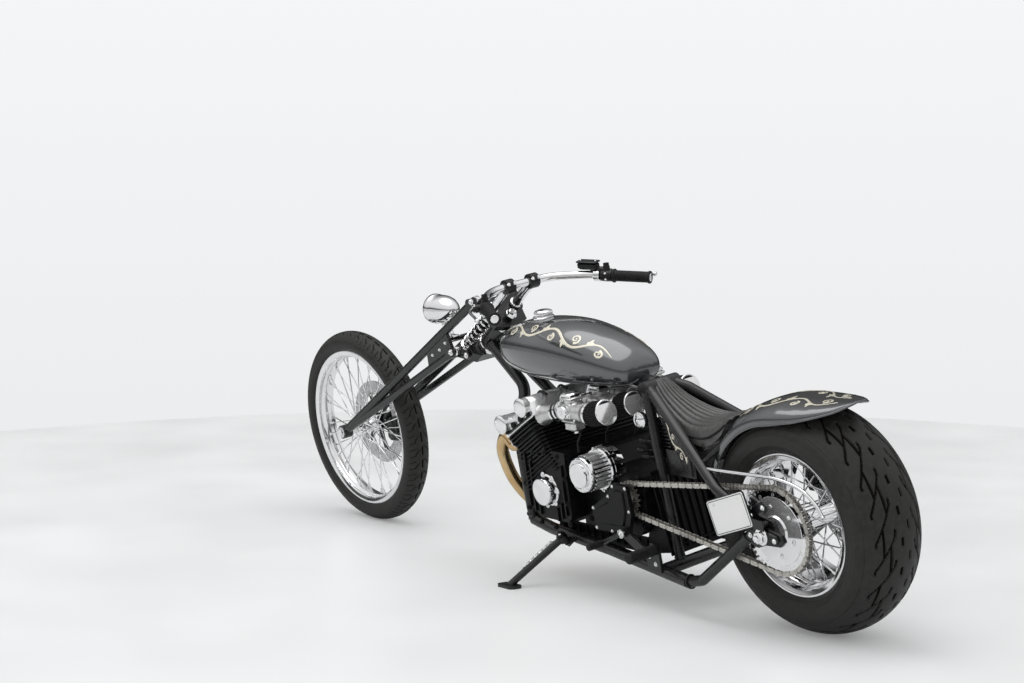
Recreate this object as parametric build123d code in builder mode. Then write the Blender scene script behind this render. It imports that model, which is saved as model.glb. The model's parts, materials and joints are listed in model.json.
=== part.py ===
from build123d import *
from math import asin, atan2, cos, degrees, hypot, pi, radians, sin
import os

# Long raked chopper motorcycle with a girder fork, millimetres throughout.
# The machine is drawn upright: X forward, Y to the left, Z up, rear axle above X = 0.
# At the end the whole machine leans onto its side stand and is moved to its own origin.

# Stance
wheelbase = 2285.0
lean_deg = 9.5
axle_z = 332.0

# Rear wheel
rear_tyre_r = 332.0
rear_tyre_half = 121.0
rear_crown_r = 146.0
rear_shoulder_half = 104.0
rear_bead_r = 190.5
rear_flange_r = 204.5
rear_rim_half = 98.0
rear_hub_r = 34.0
rear_hub_half = 86.0
rear_flange_hub_r = 52.0

# Front wheel
front_tyre_r = 346.0
front_tyre_half = 46.0
front_crown_r = 50.0
front_shoulder_half = 42.0
front_bead_r = 266.7
front_flange_r = 281.0
front_rim_half = 34.0
front_hub_r = 21.0
front_hub_half = 44.0
front_flange_hub_r = 36.0

# Both wheels
rim_wall = 4.0
spoke_r = 2.2
spoke_pairs = 20
axle_r = 10.0
running_gap = 0.05
body_gap = 0.3

# Final drive
chain_pitch = 15.875
rear_teeth = 48
front_teeth = 17
chain_y = 152.0
sprocket_thick = 8.0
chain_inner = 10.4
chain_plate = 4.6
chain_height = 14.6
front_sprocket_x = 632.0
front_sprocket_z = 341.0

# Rear brake
rear_disc_r = 138.0
rear_disc_y = -142.0
disc_thick = 5.0

# Frame tubes
tube_r = 19.0
stay_r = 16.0
backbone_r = 22.0
neck_r = 32.0
neck_half = 75.0
plate_y = 187.0
plate_thick = 12.0
rail_y = 132.0

# Steering head and girder fork
rake_deg = 53.0
head_x = 1405.0
head_z = 748.0
yoke_drop = 100.0
yoke_thick = 22.0
yoke_half = 66.0
girder_y = 90.0
girder_front_r = 15.0
girder_rear_r = 13.0
girder_top_x = 1390.0
girder_top_z = 868.0
girder_low_x = 1545.0
girder_low_z = 691.0
shock_offset = 60.0
spring_r = 25.0
spring_turns = 8
front_disc_r = 150.0
front_disc_y = -56.0
steer_limit_deg = 30.0

# Bars and lamp
bar_r = 12.7
grip_r = 17.5
grip_length = 125.0
riser_r = 15.0
riser_y = 48.0
riser_length = 121.0
riser_fore = 40.0
bar_end_x = 970.0
bar_end_y = 308.0
bar_end_z = 893.0
lamp_r = 48.0
lamp_x = 1690.0
lamp_z = 810.0

# Engine
crank_x = 955.0
crank_z = 336.0
cylinder_tilt_deg = 30.0
case_half = 200.0
gearbox_half = 136.0
deck_height = 92.0
barrel_height = 88.0
head_height = 62.0
cam_height = 26.0
bank_half = 204.0
bank_depth = 82.0
fin_step = 12.0
fin_thick = 5.0
port_y = (165.0, 55.0, -55.0, -165.0)
header_r = 20.0
pod_r = 34.0

# Bodywork
fender_gap = 12.0
fender_skirt = 42.0
fender_half = 130.0
fender_tail = 202.0
fender_thick = 3.0
seat_half = 126.0
plate_width = 160.0
plate_height = 100.0

# Side stand
stand_pivot_x = 945.0
stand_pivot_y = 184.0
stand_pivot_z = 178.0
stand_foot_x = 1015.0
stand_foot_y = 362.0
stand_leg_r = 11.0

# Drawing height of the front axle, with both tyres on one floor
front_axle_z = axle_z + front_tyre_r - rear_tyre_r

# Lean, and the small pitch that sets both tyres on the floor
lean = radians(lean_deg)
pitch = asin((rear_crown_r - front_crown_r) * (1 - cos(lean)) / wheelbase)
rear_axle_height = (rear_tyre_r - rear_crown_r) * cos(lean) + rear_crown_r
lift = rear_axle_height - axle_z * cos(lean)
stance = Location((0, 0, lift), (-lean_deg, degrees(pitch), 0))
rear_axis = Axis((0, 0, axle_z), (0, 1, 0))

# Fender radii over the rear tyre
fender_r = rear_tyre_r + fender_gap
fender_edge_r = rear_tyre_r - fender_skirt

# Steering head directions: up along the axis, and square to it towards the front
rake = radians(rake_deg)
head = Vector(head_x, 0, head_z)
head_up = Vector(-sin(rake), 0, cos(rake))
head_fore = Vector(cos(rake), 0, sin(rake))

# Cylinder directions: up the bores, and square to them towards the front
tilt = radians(cylinder_tilt_deg)
bore_up = Vector(sin(tilt), 0, cos(tilt))
bore_fore = Vector(cos(tilt), 0, -sin(tilt))
crank = Vector(crank_x, 0, crank_z)


# Plane across the machine: X forward, Y up, extrusions run to the right
def side_plane(y):
    return Plane(origin=(0, y, 0), x_dir=(1, 0, 0), z_dir=(0, -1, 0))


# Plane through a wheel's axle for a profile of side offset and radius
def wheel_plane(x, z):
    return Plane(origin=(x, 0, z), x_dir=(0, 1, 0), z_dir=(1, 0, 0))


# Point of the steering head by its height along the axis and its distance ahead of it
def head_point(up, fore, y=0.0):
    return head + head_up * up + head_fore * fore + Vector(0, y, 0)


# Point of the cylinder bank by its height above the crank and its distance ahead
def bank_point(up, fore, y=0.0):
    return crank + bore_up * up + bore_fore * fore + Vector(0, y, 0)


# Plane square to the bores at a height above the crank
def bank_plane(up):
    return Plane(origin=bank_point(up, 0), x_dir=bore_fore, z_dir=bore_up)


# Plane square to the steering axis at a height along it
def head_plane(up):
    return Plane(origin=head_point(up, 0), x_dir=head_fore, z_dir=head_up)


# Round bar bent along a line of points
def bent_bar(points, radius, bend):
    with BuildPart() as bar:
        with BuildLine() as path:
            FilletPolyline(*points, radius=bend)
        with BuildSketch(Plane(origin=path.line @ 0, z_dir=path.line % 0)):
            Circle(radius)
        sweep(path=path.line)
    return bar.part


# Straight round bar between two points
def round_bar(start, end, radius):
    run = Vector(*end) - Vector(*start)
    with BuildPart() as bar:
        with BuildSketch(Plane(origin=start, z_dir=run)):
            Circle(radius)
        extrude(amount=run.length)
    return bar.part


# Round boss across the machine from one side offset to another
def cross_boss(x, z, y_from, y_to, radius):
    return round_bar((x, y_from, z), (x, y_to, z), radius)


# Ring revolved around an axle from a profile of side offsets and radii
def wheel_ring(x, z, points):
    with BuildPart() as ring:
        with BuildSketch(wheel_plane(x, z)):
            with BuildLine():
                Polyline(*points, close=True)
            make_face()
        revolve(axis=Axis((x, 0, z), (0, 1, 0)))
    return ring.part


# Tyre with round shoulders, sidewalls and a crown
def tyre(x, z, outer_r, half, crown_r, shoulder_half, bead_r, flange_r, rim_half):
    shoulder_r = outer_r - crown_r + (crown_r ** 2 - shoulder_half ** 2) ** 0.5
    bead_half = rim_half - rim_wall - body_gap
    side_r = flange_r + 0.5 * (shoulder_r - flange_r)
    with BuildPart() as carcass:
        with BuildSketch(wheel_plane(x, z)):
            with BuildLine():
                Polyline((-bead_half, flange_r), (-bead_half, bead_r), (bead_half, bead_r), (bead_half, flange_r))
                Line((bead_half, flange_r), (half, side_r))
                Line((half, side_r), (shoulder_half, shoulder_r))
                ThreePointArc((shoulder_half, shoulder_r), (0, outer_r), (-shoulder_half, shoulder_r))
                Line((-shoulder_half, shoulder_r), (-half, side_r))
                Line((-half, side_r), (-bead_half, flange_r))
            make_face()
        revolve(axis=Axis((x, 0, z), (0, 1, 0)))
    return carcass.part


# Rim with two flanges and a dropped centre
def rim(x, z, bead_r, flange_r, rim_half, well_half, well_drop):
    seat_r = bead_r - body_gap
    well_r = seat_r - well_drop
    step_half = rim_half - 3.0 * rim_wall
    half_outside = (
        (rim_half, flange_r),
        (rim_half - rim_wall, flange_r),
        (rim_half - rim_wall, seat_r),
        (step_half, seat_r),
        (well_half, well_r),
    )
    half_inside = (
        (well_half - 2.0, well_r - rim_wall),
        (step_half - 2.0, seat_r - rim_wall),
        (rim_half, seat_r - rim_wall),
    )
    outside = list(half_outside) + [(-y, r) for y, r in reversed(half_outside)]
    inside = [(-y, r) for y, r in reversed(half_inside)] + list(half_inside)
    return wheel_ring(x, z, outside + inside)


# Hub with two spoke flanges and laced spokes that end under the rim
def hub_and_spokes(x, z, hub_r, half, flange_r, rim_well_r, rim_spread, bore_r):
    flange_y = half - 12.0
    with BuildPart() as hub:
        add(cross_boss(x, z, -half, half, hub_r))
        add(cross_boss(x, z, flange_y - 4, flange_y + 4, flange_r))
        add(cross_boss(x, z, -flange_y - 4, -flange_y + 4, flange_r))
        for side in (1, -1):
            for index in range(spoke_pairs):
                slant = 38.0 if index % 2 else -38.0
                set_off = 2.6 if index % 2 else -2.6
                angle = radians(360.0 / spoke_pairs * (index + (0.25 if side > 0 else 0.75)))
                hub_angle = angle + radians(slant)
                inner_r = flange_r - 5.0
                start = Vector(x + inner_r * cos(hub_angle), side * flange_y + set_off, z + inner_r * sin(hub_angle))
                end = Vector(x + rim_well_r * cos(angle), side * rim_spread + set_off, z + rim_well_r * sin(angle))
                with BuildSketch(Plane(origin=start, z_dir=end - start)):
                    RegularPolygon(spoke_r, 6)
                extrude(amount=(end - start).length)
        add(cross_boss(x, z, -half - 1, half + 1, bore_r), mode=Mode.SUBTRACT)
    return hub.part


# Toothed sprocket plate with a centre hole
def sprocket(x, z, teeth, y_middle, bore_r):
    pitch_r = chain_pitch / (2 * sin(radians(180.0 / teeth)))
    root_r = pitch_r - 5.4
    tip_r = pitch_r + 4.2
    step = 360.0 / teeth
    outline = []
    for tooth in range(teeth):
        middle = 90.0 + step * (tooth + 0.5)
        for radius, turn in ((root_r, -0.30), (tip_r, -0.10), (tip_r, 0.10), (root_r, 0.30)):
            angle = radians(middle + turn * step)
            outline.append((x + radius * cos(angle), z + radius * sin(angle)))
    with BuildPart() as wheel:
        with BuildSketch(side_plane(y_middle)):
            Polygon(*outline, align=None)
            with Locations((x, z)):
                Circle(bore_r, mode=Mode.SUBTRACT)
        extrude(amount=sprocket_thick / 2, both=True)
    return wheel.part


# Wheels
rear_tyre = tyre(
    0, axle_z, rear_tyre_r, rear_tyre_half, rear_crown_r, rear_shoulder_half, rear_bead_r, rear_flange_r, rear_rim_half
)
front_tyre = tyre(
    wheelbase, front_axle_z, front_tyre_r, front_tyre_half, front_crown_r, front_shoulder_half,
    front_bead_r, front_flange_r, front_rim_half
)
rear_well_drop = 13.0
front_well_drop = 10.0
rear_rim = rim(0, axle_z, rear_bead_r, rear_flange_r, rear_rim_half, 58.0, rear_well_drop)
front_rim = rim(wheelbase, front_axle_z, front_bead_r, front_flange_r, front_rim_half, 14.0, front_well_drop)
rear_spoke_end_r = rear_bead_r - body_gap - rear_well_drop - rim_wall - 1.3
front_spoke_end_r = front_bead_r - body_gap - front_well_drop - rim_wall - 0.9
rear_hub = hub_and_spokes(
    0, axle_z, rear_hub_r, rear_hub_half, rear_flange_hub_r, rear_spoke_end_r, 34.0, axle_r + running_gap
)
front_hub = hub_and_spokes(
    wheelbase, front_axle_z, front_hub_r, front_hub_half, front_flange_hub_r, front_spoke_end_r, 6.0, axle_r + running_gap
)

# Rear sprocket on its carrier, and the two brake discs
with BuildPart() as rear_sprocket:
    add(sprocket(0, axle_z, rear_teeth, chain_y, rear_hub_r))
    add(cross_boss(0, axle_z, rear_hub_half, chain_y + sprocket_thick / 2 + 6, rear_hub_r + 8))
    add(cross_boss(0, axle_z, rear_hub_half - 1, chain_y + 20, axle_r + running_gap), mode=Mode.SUBTRACT)

with BuildPart() as rear_disc:
    add(cross_boss(0, axle_z, rear_disc_y - disc_thick / 2, rear_disc_y + disc_thick / 2, rear_disc_r))
    add(cross_boss(0, axle_z, rear_disc_y - 8, -rear_hub_half, rear_hub_r + 6))
    add(cross_boss(0, axle_z, rear_disc_y - 9, -rear_hub_half + 1, axle_r + running_gap), mode=Mode.SUBTRACT)
    with BuildSketch(side_plane(rear_disc_y)):
        with Locations((0, axle_z)):
            with PolarLocations(0.72 * rear_disc_r, 8):
                Circle(0.12 * rear_disc_r)
    extrude(amount=disc_thick, both=True, mode=Mode.SUBTRACT)

with BuildPart() as front_disc:
    add(cross_boss(wheelbase, front_axle_z, front_disc_y - disc_thick / 2, front_disc_y + disc_thick / 2, front_disc_r))
    with BuildSketch(side_plane(front_disc_y)):
        with Locations((wheelbase, front_axle_z)):
            with PolarLocations(0.56 * front_disc_r, 6):
                Circle(0.19 * front_disc_r)
    extrude(amount=disc_thick, both=True, mode=Mode.SUBTRACT)
    add(cross_boss(wheelbase, front_axle_z, front_disc_y - 7, -front_hub_half, front_hub_r + 9))
    add(cross_boss(wheelbase, front_axle_z, front_disc_y - 8, -front_hub_half + 1, axle_r + running_gap), mode=Mode.SUBTRACT)

# Chain: two rows of side plates and the pins of every second link
rear_pitch_r = chain_pitch / (2 * sin(radians(180.0 / rear_teeth)))
front_pitch_r = chain_pitch / (2 * sin(radians(180.0 / front_teeth)))
drive_run = hypot(front_sprocket_x, front_sprocket_z - axle_z)
drive_slope = atan2(front_sprocket_z - axle_z, front_sprocket_x)
drive_wrap = asin((rear_pitch_r - front_pitch_r) / drive_run)


# Closed outline around both sprockets at a distance from the chain's pitch line
def drive_outline(offset):
    corners = []
    for x, z, radius in ((0, axle_z, rear_pitch_r), (front_sprocket_x, front_sprocket_z, front_pitch_r)):
        for turn in (1, -1):
            angle = drive_slope + turn * (radians(90) - drive_wrap)
            corners.append((x + (radius + offset) * cos(angle), z + (radius + offset) * sin(angle)))
    rear_far = drive_slope + radians(180)
    rear_mid = ((rear_pitch_r + offset) * cos(rear_far), axle_z + (rear_pitch_r + offset) * sin(rear_far))
    front_mid = (
        front_sprocket_x + (front_pitch_r + offset) * cos(drive_slope),
        front_sprocket_z + (front_pitch_r + offset) * sin(drive_slope),
    )
    rear_top, rear_low, front_top, front_low = corners
    with BuildLine() as loop:
        Line(rear_top, front_top)
        ThreePointArc(front_top, front_mid, front_low)
        Line(front_low, rear_low)
        ThreePointArc(rear_low, rear_mid, rear_top)
    return loop.line


with BuildPart() as chain:
    for side in (1, -1):
        with BuildSketch(side_plane(chain_y + side * (chain_inner / 2 + chain_plate / 2))):
            make_face(drive_outline(chain_height / 2))
            make_face(drive_outline(-chain_height / 2), mode=Mode.SUBTRACT)
        extrude(amount=chain_plate / 2, both=True)
    pin_spots = []
    for link in range(0, rear_teeth, 2):
        angle = radians(90.0 + 360.0 / rear_teeth * link)
        if cos(angle - drive_slope) < sin(drive_wrap) - 0.02:
            pin_spots.append((rear_pitch_r * cos(angle), axle_z + rear_pitch_r * sin(angle)))
    for turn in (1, -1):
        angle = drive_slope + turn * (radians(90) - drive_wrap)
        start = Vector(rear_pitch_r * cos(angle), axle_z + rear_pitch_r * sin(angle))
        end = Vector(front_sprocket_x + front_pitch_r * cos(angle), front_sprocket_z + front_pitch_r * sin(angle))
        for step in range(2, 17):
            spot = start + (end - start) * (step / 18.0)
            pin_spots.append((spot.X, spot.Y))
    with BuildSketch(side_plane(chain_y)):
        for spot in pin_spots:
            with Locations(spot):
                RegularPolygon(4.2, 6)
    extrude(amount=chain_inner / 2 + chain_plate / 2, both=True)

with BuildPart() as front_sprocket:
    add(sprocket(front_sprocket_x, front_sprocket_z, front_teeth, chain_y, 14.0))
    add(cross_boss(front_sprocket_x, front_sprocket_z, gearbox_half, chain_y + 12, 18.0))

# Frame: steering head, backbone, downtubes, rails, posts, stays and axle plates
backbone_front = (1388.0, 0.0, 742.0)
backbone_rear = (612.0, 0.0, 648.0)
cross_half = 66.0
neck = round_bar(head_point(-neck_half, 0), head_point(neck_half, 0), neck_r)
stem_r = 14.0

with BuildPart() as frame_neck:
    add(neck)
    add(round_bar(head_point(-neck_half - 1, 0), head_point(neck_half + 1, 0), stem_r + running_gap), mode=Mode.SUBTRACT)

with BuildPart() as frame_backbone:
    add(round_bar(backbone_front, backbone_rear, backbone_r))
    for share in (0.2, 0.78):
        spot = Vector(*backbone_front) + (Vector(*backbone_rear) - Vector(*backbone_front)) * share
        add(round_bar(spot, spot + Vector(-26, 0, -3.15), backbone_r + 6))
    add(cross_boss(backbone_rear[0], backbone_rear[2], -cross_half, cross_half, backbone_r + 3))
    add(neck, mode=Mode.SUBTRACT)

downtube_points = ((1424, 21, 728), (1236, 34, 592), (1204, 110, 478), (1150, rail_y, 196))
with BuildPart() as downtubes:
    add(bent_bar(downtube_points, tube_r, 90.0))
    mirror(about=Plane.XZ)
    add(neck, mode=Mode.SUBTRACT)
    add(frame_backbone.part, mode=Mode.SUBTRACT)
    add(round_bar((1500, 0, 778), (1100, 0, 490), 0.4), mode=Mode.SUBTRACT)

rail_points = ((1150, rail_y, 196), (1060, rail_y, 178), (760, rail_y + 14, 160), (360, plate_y, 136))
with BuildPart() as rails:
    add(bent_bar(rail_points, tube_r, 60.0))
    mirror(about=Plane.XZ)
    add(downtubes.part, mode=Mode.SUBTRACT)

with BuildPart() as axle_plates:
    with BuildSketch(side_plane(plate_y)):
        Polygon((-46, axle_z - 10), (-30, axle_z + 40), (60, axle_z + 60), (84, axle_z + 20), (78, axle_z - 32),
                (40, axle_z - 44), align=None)
    extrude(amount=plate_thick / 2, both=True)
    fillet(axle_plates.edges().filter_by(Axis.Y), 12)
    add(cross_boss(0, axle_z, plate_y - 20, plate_y + 20, axle_r + running_gap), mode=Mode.SUBTRACT)
    mirror(about=Plane.XZ)

with BuildPart() as chain_stays:
    add(bent_bar(((360, plate_y, 136), (300, plate_y, 150), (58, plate_y, axle_z - 2)), stay_r, 40.0))
    mirror(about=Plane.XZ)
    add(rails.part, mode=Mode.SUBTRACT)
    add(axle_plates.part, mode=Mode.SUBTRACT)

stay_points = ((622, 40, 655), (560, 66, 634), (190, plate_y, axle_z + 100), (56, plate_y, axle_z + 30))
with BuildPart() as seat_stays:
    add(bent_bar(stay_points, stay_r, 70.0))
    mirror(about=Plane.XZ)
    add(frame_backbone.part, mode=Mode.SUBTRACT)
    add(axle_plates.part, mode=Mode.SUBTRACT)
    add(chain_stays.part, mode=Mode.SUBTRACT)

with BuildPart() as crossmembers:
    add(cross_boss(486, 146, -190, 190, tube_r))
    add(cross_boss(1168, 290, -120, 120, 12))
    add(round_bar((486, 104, 146), (600, 62, 642), stay_r))
    add(round_bar((486, -104, 146), (600, -62, 642), stay_r))
    add(rails.part, mode=Mode.SUBTRACT)
    add(downtubes.part, mode=Mode.SUBTRACT)
    add(frame_backbone.part, mode=Mode.SUBTRACT)
    add(seat_stays.part, mode=Mode.SUBTRACT)
    with BuildSketch(Plane.XY):
        with Locations((1000, 0)):
            Rectangle(4000, 344)
    extrude(amount=900, mode=Mode.INTERSECT)

# Engine: crankcase with gearbox, finned bank, covers and drive cover
case_points = ((862, 240), (1020, 240), (1066, 274), (1086, 336), (1080, 372), (926, 461), (862, 461))
with BuildPart() as crankcase:
    with BuildSketch(side_plane(0)):
        Polygon(*case_points, align=None)
    extrude(amount=case_half, both=True)
    fillet(crankcase.edges().filter_by(Axis.Y).group_by(Axis.Z)[0], 30)
    with BuildSketch(side_plane(0)):
        Polygon((574, 262), (620, 220), (880, 220), (880, 448), (812, 448), (790, 396), (600, 396), (574, 372), align=None)
    extrude(amount=gearbox_half, both=True)
    with BuildSketch(side_plane(0)):
        Polygon((716, 186), (900, 186), (930, 242), (700, 242), align=None)
    extrude(amount=72, both=True)
    with BuildSketch(bank_plane(deck_height)):
        Rectangle(2 * 400, 2 * 400)
    extrude(amount=200, mode=Mode.SUBTRACT)

with BuildPart() as cylinder_block:
    with BuildSketch(bank_plane(deck_height)):
        RectangleRounded(2 * (bank_depth - 18), 2 * (bank_half - 14), 20)
    extrude(amount=barrel_height)
    for fin in range(7):
        with BuildSketch(bank_plane(deck_height + 6 + fin_step * fin)):
            RectangleRounded(2 * (bank_depth - 2), 2 * (bank_half - 2), 24)
        extrude(amount=fin_thick)

head_base = deck_height + barrel_height
with BuildPart() as cylinder_head:
    with BuildSketch(bank_plane(head_base)):
        RectangleRounded(2 * (bank_depth - 12), 2 * (bank_half - 10), 18)
    extrude(amount=head_height)
    for fin in range(4):
        with BuildSketch(bank_plane(head_base + 4 + fin_step * fin)):
            RectangleRounded(2 * (bank_depth + 4), 2 * (bank_half + 4), 26)
        extrude(amount=fin_thick)

cam_base = head_base + head_height
cam_spread = 69.0
with BuildPart() as cam_cover:
    with BuildSketch(bank_plane(cam_base)):
        RectangleRounded(2 * (bank_depth + 12), 2 * (bank_half + 8), 20)
    extrude(amount=cam_height)
    for fore in (cam_spread, -cam_spread):
        middle = bank_point(cam_base + cam_height - 4, fore)
        add(cross_boss(middle.X, middle.Z, -bank_half - 8, bank_half + 8, 26))
        add(cross_boss(middle.X, middle.Z, -bank_half - 24, bank_half + 24, 23))
    with BuildSketch(bank_plane(cam_base)):
        Rectangle(900, 900)
    extrude(amount=-60, mode=Mode.SUBTRACT)

with BuildPart() as crank_covers:
    add(cross_boss(crank_x, crank_z, case_half, case_half + 28, 58))
    add(cross_boss(crank_x, crank_z, case_half, case_half + 38, 44))
    mirror(about=Plane.XZ)

with BuildPart() as side_covers:
    with BuildSketch(side_plane(chain_y + 34)):
        Polygon((590, 300), (612, 240), (760, 232), (776, 300), (700, 346), (664, 388), (600, 386), align=None)
    extrude(amount=14)
    with BuildSketch(side_plane(gearbox_half)):
        Polygon((712, 238), (756, 238), (766, 296), (712, 328), align=None)
    extrude(amount=gearbox_half - chain_y - 34)
    add(cross_boss(742, 318, -gearbox_half, -case_half - 30, 88))
    add(cross_boss(742, 318, -case_half, -case_half - 42, 62))
    add(crankcase.part, mode=Mode.SUBTRACT)

alternator_x = 758.0
alternator_z = 412.0
alternator_r = 46.0
alternator_ribs = 24
rib_outline = []
for rib in range(alternator_ribs):
    for radius, turn in ((alternator_r - 5, 0.0), (alternator_r, 0.2), (alternator_r, 0.6), (alternator_r - 5, 0.8)):
        angle = 2 * pi * (rib + turn) / alternator_ribs
        rib_outline.append((alternator_x + radius * cos(angle), alternator_z + radius * sin(angle)))
with BuildPart() as alternator:
    add(cross_boss(alternator_x, alternator_z, 100, 146, 60))
    add(cross_boss(alternator_x, alternator_z, 140, 158, 54))
    with BuildSketch(side_plane(150)):
        Polygon(*rib_outline, align=None)
    extrude(amount=-76)
    add(cross_boss(alternator_x, alternator_z, 220, 238, 36))
    add(crank_covers.part)
    add(crankcase.part, mode=Mode.SUBTRACT)

# Carburettors with pod filters, one for each port
port_rear = bank_point(head_base + 32, -bank_depth - 4)
carb_z = port_rear.Z + 22
with BuildPart() as carburettors:
    for y in port_y:
        add(round_bar((880, y, carb_z), (port_rear.X + 22, y, port_rear.Z - 4), 21))
        with BuildSketch(side_plane(y)):
            Polygon((792, carb_z - 62), (862, carb_z - 62), (884, carb_z - 26), (884, carb_z + 30), (792, carb_z + 30), align=None)
        extrude(amount=27, both=True)
        add(round_bar((792, y, carb_z), (752, y, carb_z + 2), 26))
    add(cross_boss(838, carb_z + 22, -170, 170, 6))
    add(cross_boss(838, carb_z - 40, -170, 170, 5))
    add(cylinder_head.part, mode=Mode.SUBTRACT)

with BuildPart() as air_filters:
    for y in port_y:
        add(round_bar((752, y, carb_z + 2), (672, y, carb_z + 6), pod_r))

with BuildPart() as filter_caps:
    for y in port_y:
        add(round_bar((672, y, carb_z + 6), (664, y, carb_z + 6.4), pod_r + 1))

# Exhaust: four headers under the engine and a silencer low on the right
port_front = bank_point(head_base + 26, bank_depth + 4)
under_z = 214.0
collector_x = 1060.0
with BuildPart() as headers:
    for y, low_y in zip(port_y, (66.0, 22.0, -22.0, -66.0)):
        start = (port_front.X - 18, y, port_front.Z + 4)
        bow = (1228, y, port_front.Z - 36)
        drop = (1234, y * 0.85, 330)
        under = (1190, low_y, under_z)
        add(bent_bar((start, bow, drop, under, (collector_x, low_y, under_z)), header_r, 46.0))
    add(cylinder_head.part, mode=Mode.SUBTRACT)

with BuildPart() as silencer:
    with BuildSketch(Plane(origin=(collector_x, 0, under_z), x_dir=(0, 1, 0), z_dir=(-1, 0, 0))):
        RectangleRounded(186, 46, 18)
    extrude(amount=56)
    add(bent_bar(((1030, -40, under_z), (1010, -165, under_z), (970, -214, under_z - 8), (930, -216, 202)), 19, 24.0))
    add(round_bar((950, -216, 202), (800, -218, 202), 36))
    add(round_bar((800, -218, 202), (768, -218, 202), 22))
    add(round_bar((790, -218, 202), (760, -218, 202), 19), mode=Mode.SUBTRACT)

# Tank, filler cap, seat, side panels, battery box and rear fender
tank_table = (
    # station x, underside z, half width low, widest z, half width, top z
    (1326.0, 702.0, 24.0, 722.0, 40.0, 744.0),
    (1280.0, 690.0, 44.0, 738.0, 86.0, 788.0),
    (1130.0, 674.0, 62.0, 742.0, 122.0, 822.0),
    (960.0, 660.0, 62.0, 732.0, 126.0, 824.0),
    (780.0, 654.0, 50.0, 704.0, 96.0, 770.0),
    (690.0, 658.0, 36.0, 686.0, 66.0, 722.0),
    (652.0, 664.0, 22.0, 680.0, 40.0, 700.0),
)
with BuildPart() as fuel_tank:
    for x, low_z, low_half, wide_z, half, top_z in tank_table:
        belly_y = low_half + 0.78 * (half - low_half)
        belly_z = low_z + 0.36 * (wide_z - low_z)
        with BuildSketch(Plane(origin=(x, 0, 0), x_dir=(0, 1, 0), z_dir=(1, 0, 0))):
            with BuildLine():
                Line((-low_half, low_z), (low_half, low_z))
                ThreePointArc((low_half, low_z), (belly_y, belly_z), (half, wide_z))
                ThreePointArc((half, wide_z), (0, top_z), (-half, wide_z))
                ThreePointArc((-half, wide_z), (-belly_y, belly_z), (-low_half, low_z))
            make_face()
    loft()
    add(round_bar(backbone_front, backbone_rear, backbone_r + 6), mode=Mode.SUBTRACT)
    with BuildSketch(side_plane(0)):
        Polygon((1388, 742), (612, 648), (612, 560), (1388, 560), align=None)
    extrude(amount=backbone_r + 6, both=True, mode=Mode.SUBTRACT)

cap_x = 1140.0
cap_z = 821.0
cap_neck = 30.0
with BuildPart() as filler_cap:
    add(round_bar((cap_x, 0, cap_z - cap_neck), (cap_x, 0, cap_z + 10), 30))
    add(round_bar((cap_x, 0, cap_z + 10), (cap_x, 0, cap_z + 15), 23))
    add(fuel_tank.part, mode=Mode.SUBTRACT)

seat_back_r = fender_r + fender_thick + 4.0
seat_low = (seat_back_r * cos(radians(33)), axle_z + seat_back_r * sin(radians(33)))
seat_mid = (seat_back_r * cos(radians(43)), axle_z + seat_back_r * sin(radians(43)))
seat_top = (seat_back_r * cos(radians(54)), axle_z + seat_back_r * sin(radians(54)))
with BuildPart() as seat:
    with BuildSketch(side_plane(0)):
        with BuildLine():
            ThreePointArc((592, 668), (510, 606), (400, 570))
            ThreePointArc((400, 570), (300, 578), seat_top)
            ThreePointArc(seat_top, seat_mid, seat_low)
            Polyline(seat_low, (400, 532), (505, 572), (584, 636), (592, 668))
        make_face()
    extrude(amount=seat_half + 40, both=True)
    with BuildSketch(Plane.XY):
        Polygon((640, 34), (560, 50), (330, 122), (180, 128), (180, -128), (330, -122), (560, -50), (640, -34), align=None)
    extrude(amount=900, mode=Mode.INTERSECT)
    add(seat_stays.part, mode=Mode.SUBTRACT)
    add(frame_backbone.part, mode=Mode.SUBTRACT)
    add(crossmembers.part, mode=Mode.SUBTRACT)

panel_run = Vector(580, 62, 0) - Vector(345, 138, 0)
with BuildPart() as side_panels:
    with BuildSketch(Plane(origin=(345, 138, 0), x_dir=panel_run, z_dir=panel_run.cross(Vector(0, 0, 1)))):
        Polygon((0, 436), (4, 500), (232, 636), (238, 606), (140, 528), (62, 450), align=None)
    extrude(amount=3, both=True)
    mirror(about=Plane.XZ)
    with BuildSketch(Plane(origin=(476, 0, 404))):
        RectangleRounded(128, 2 * 72, 8)
    extrude(amount=76)
    add(seat_stays.part, mode=Mode.SUBTRACT)
    add(crossmembers.part, mode=Mode.SUBTRACT)

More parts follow.
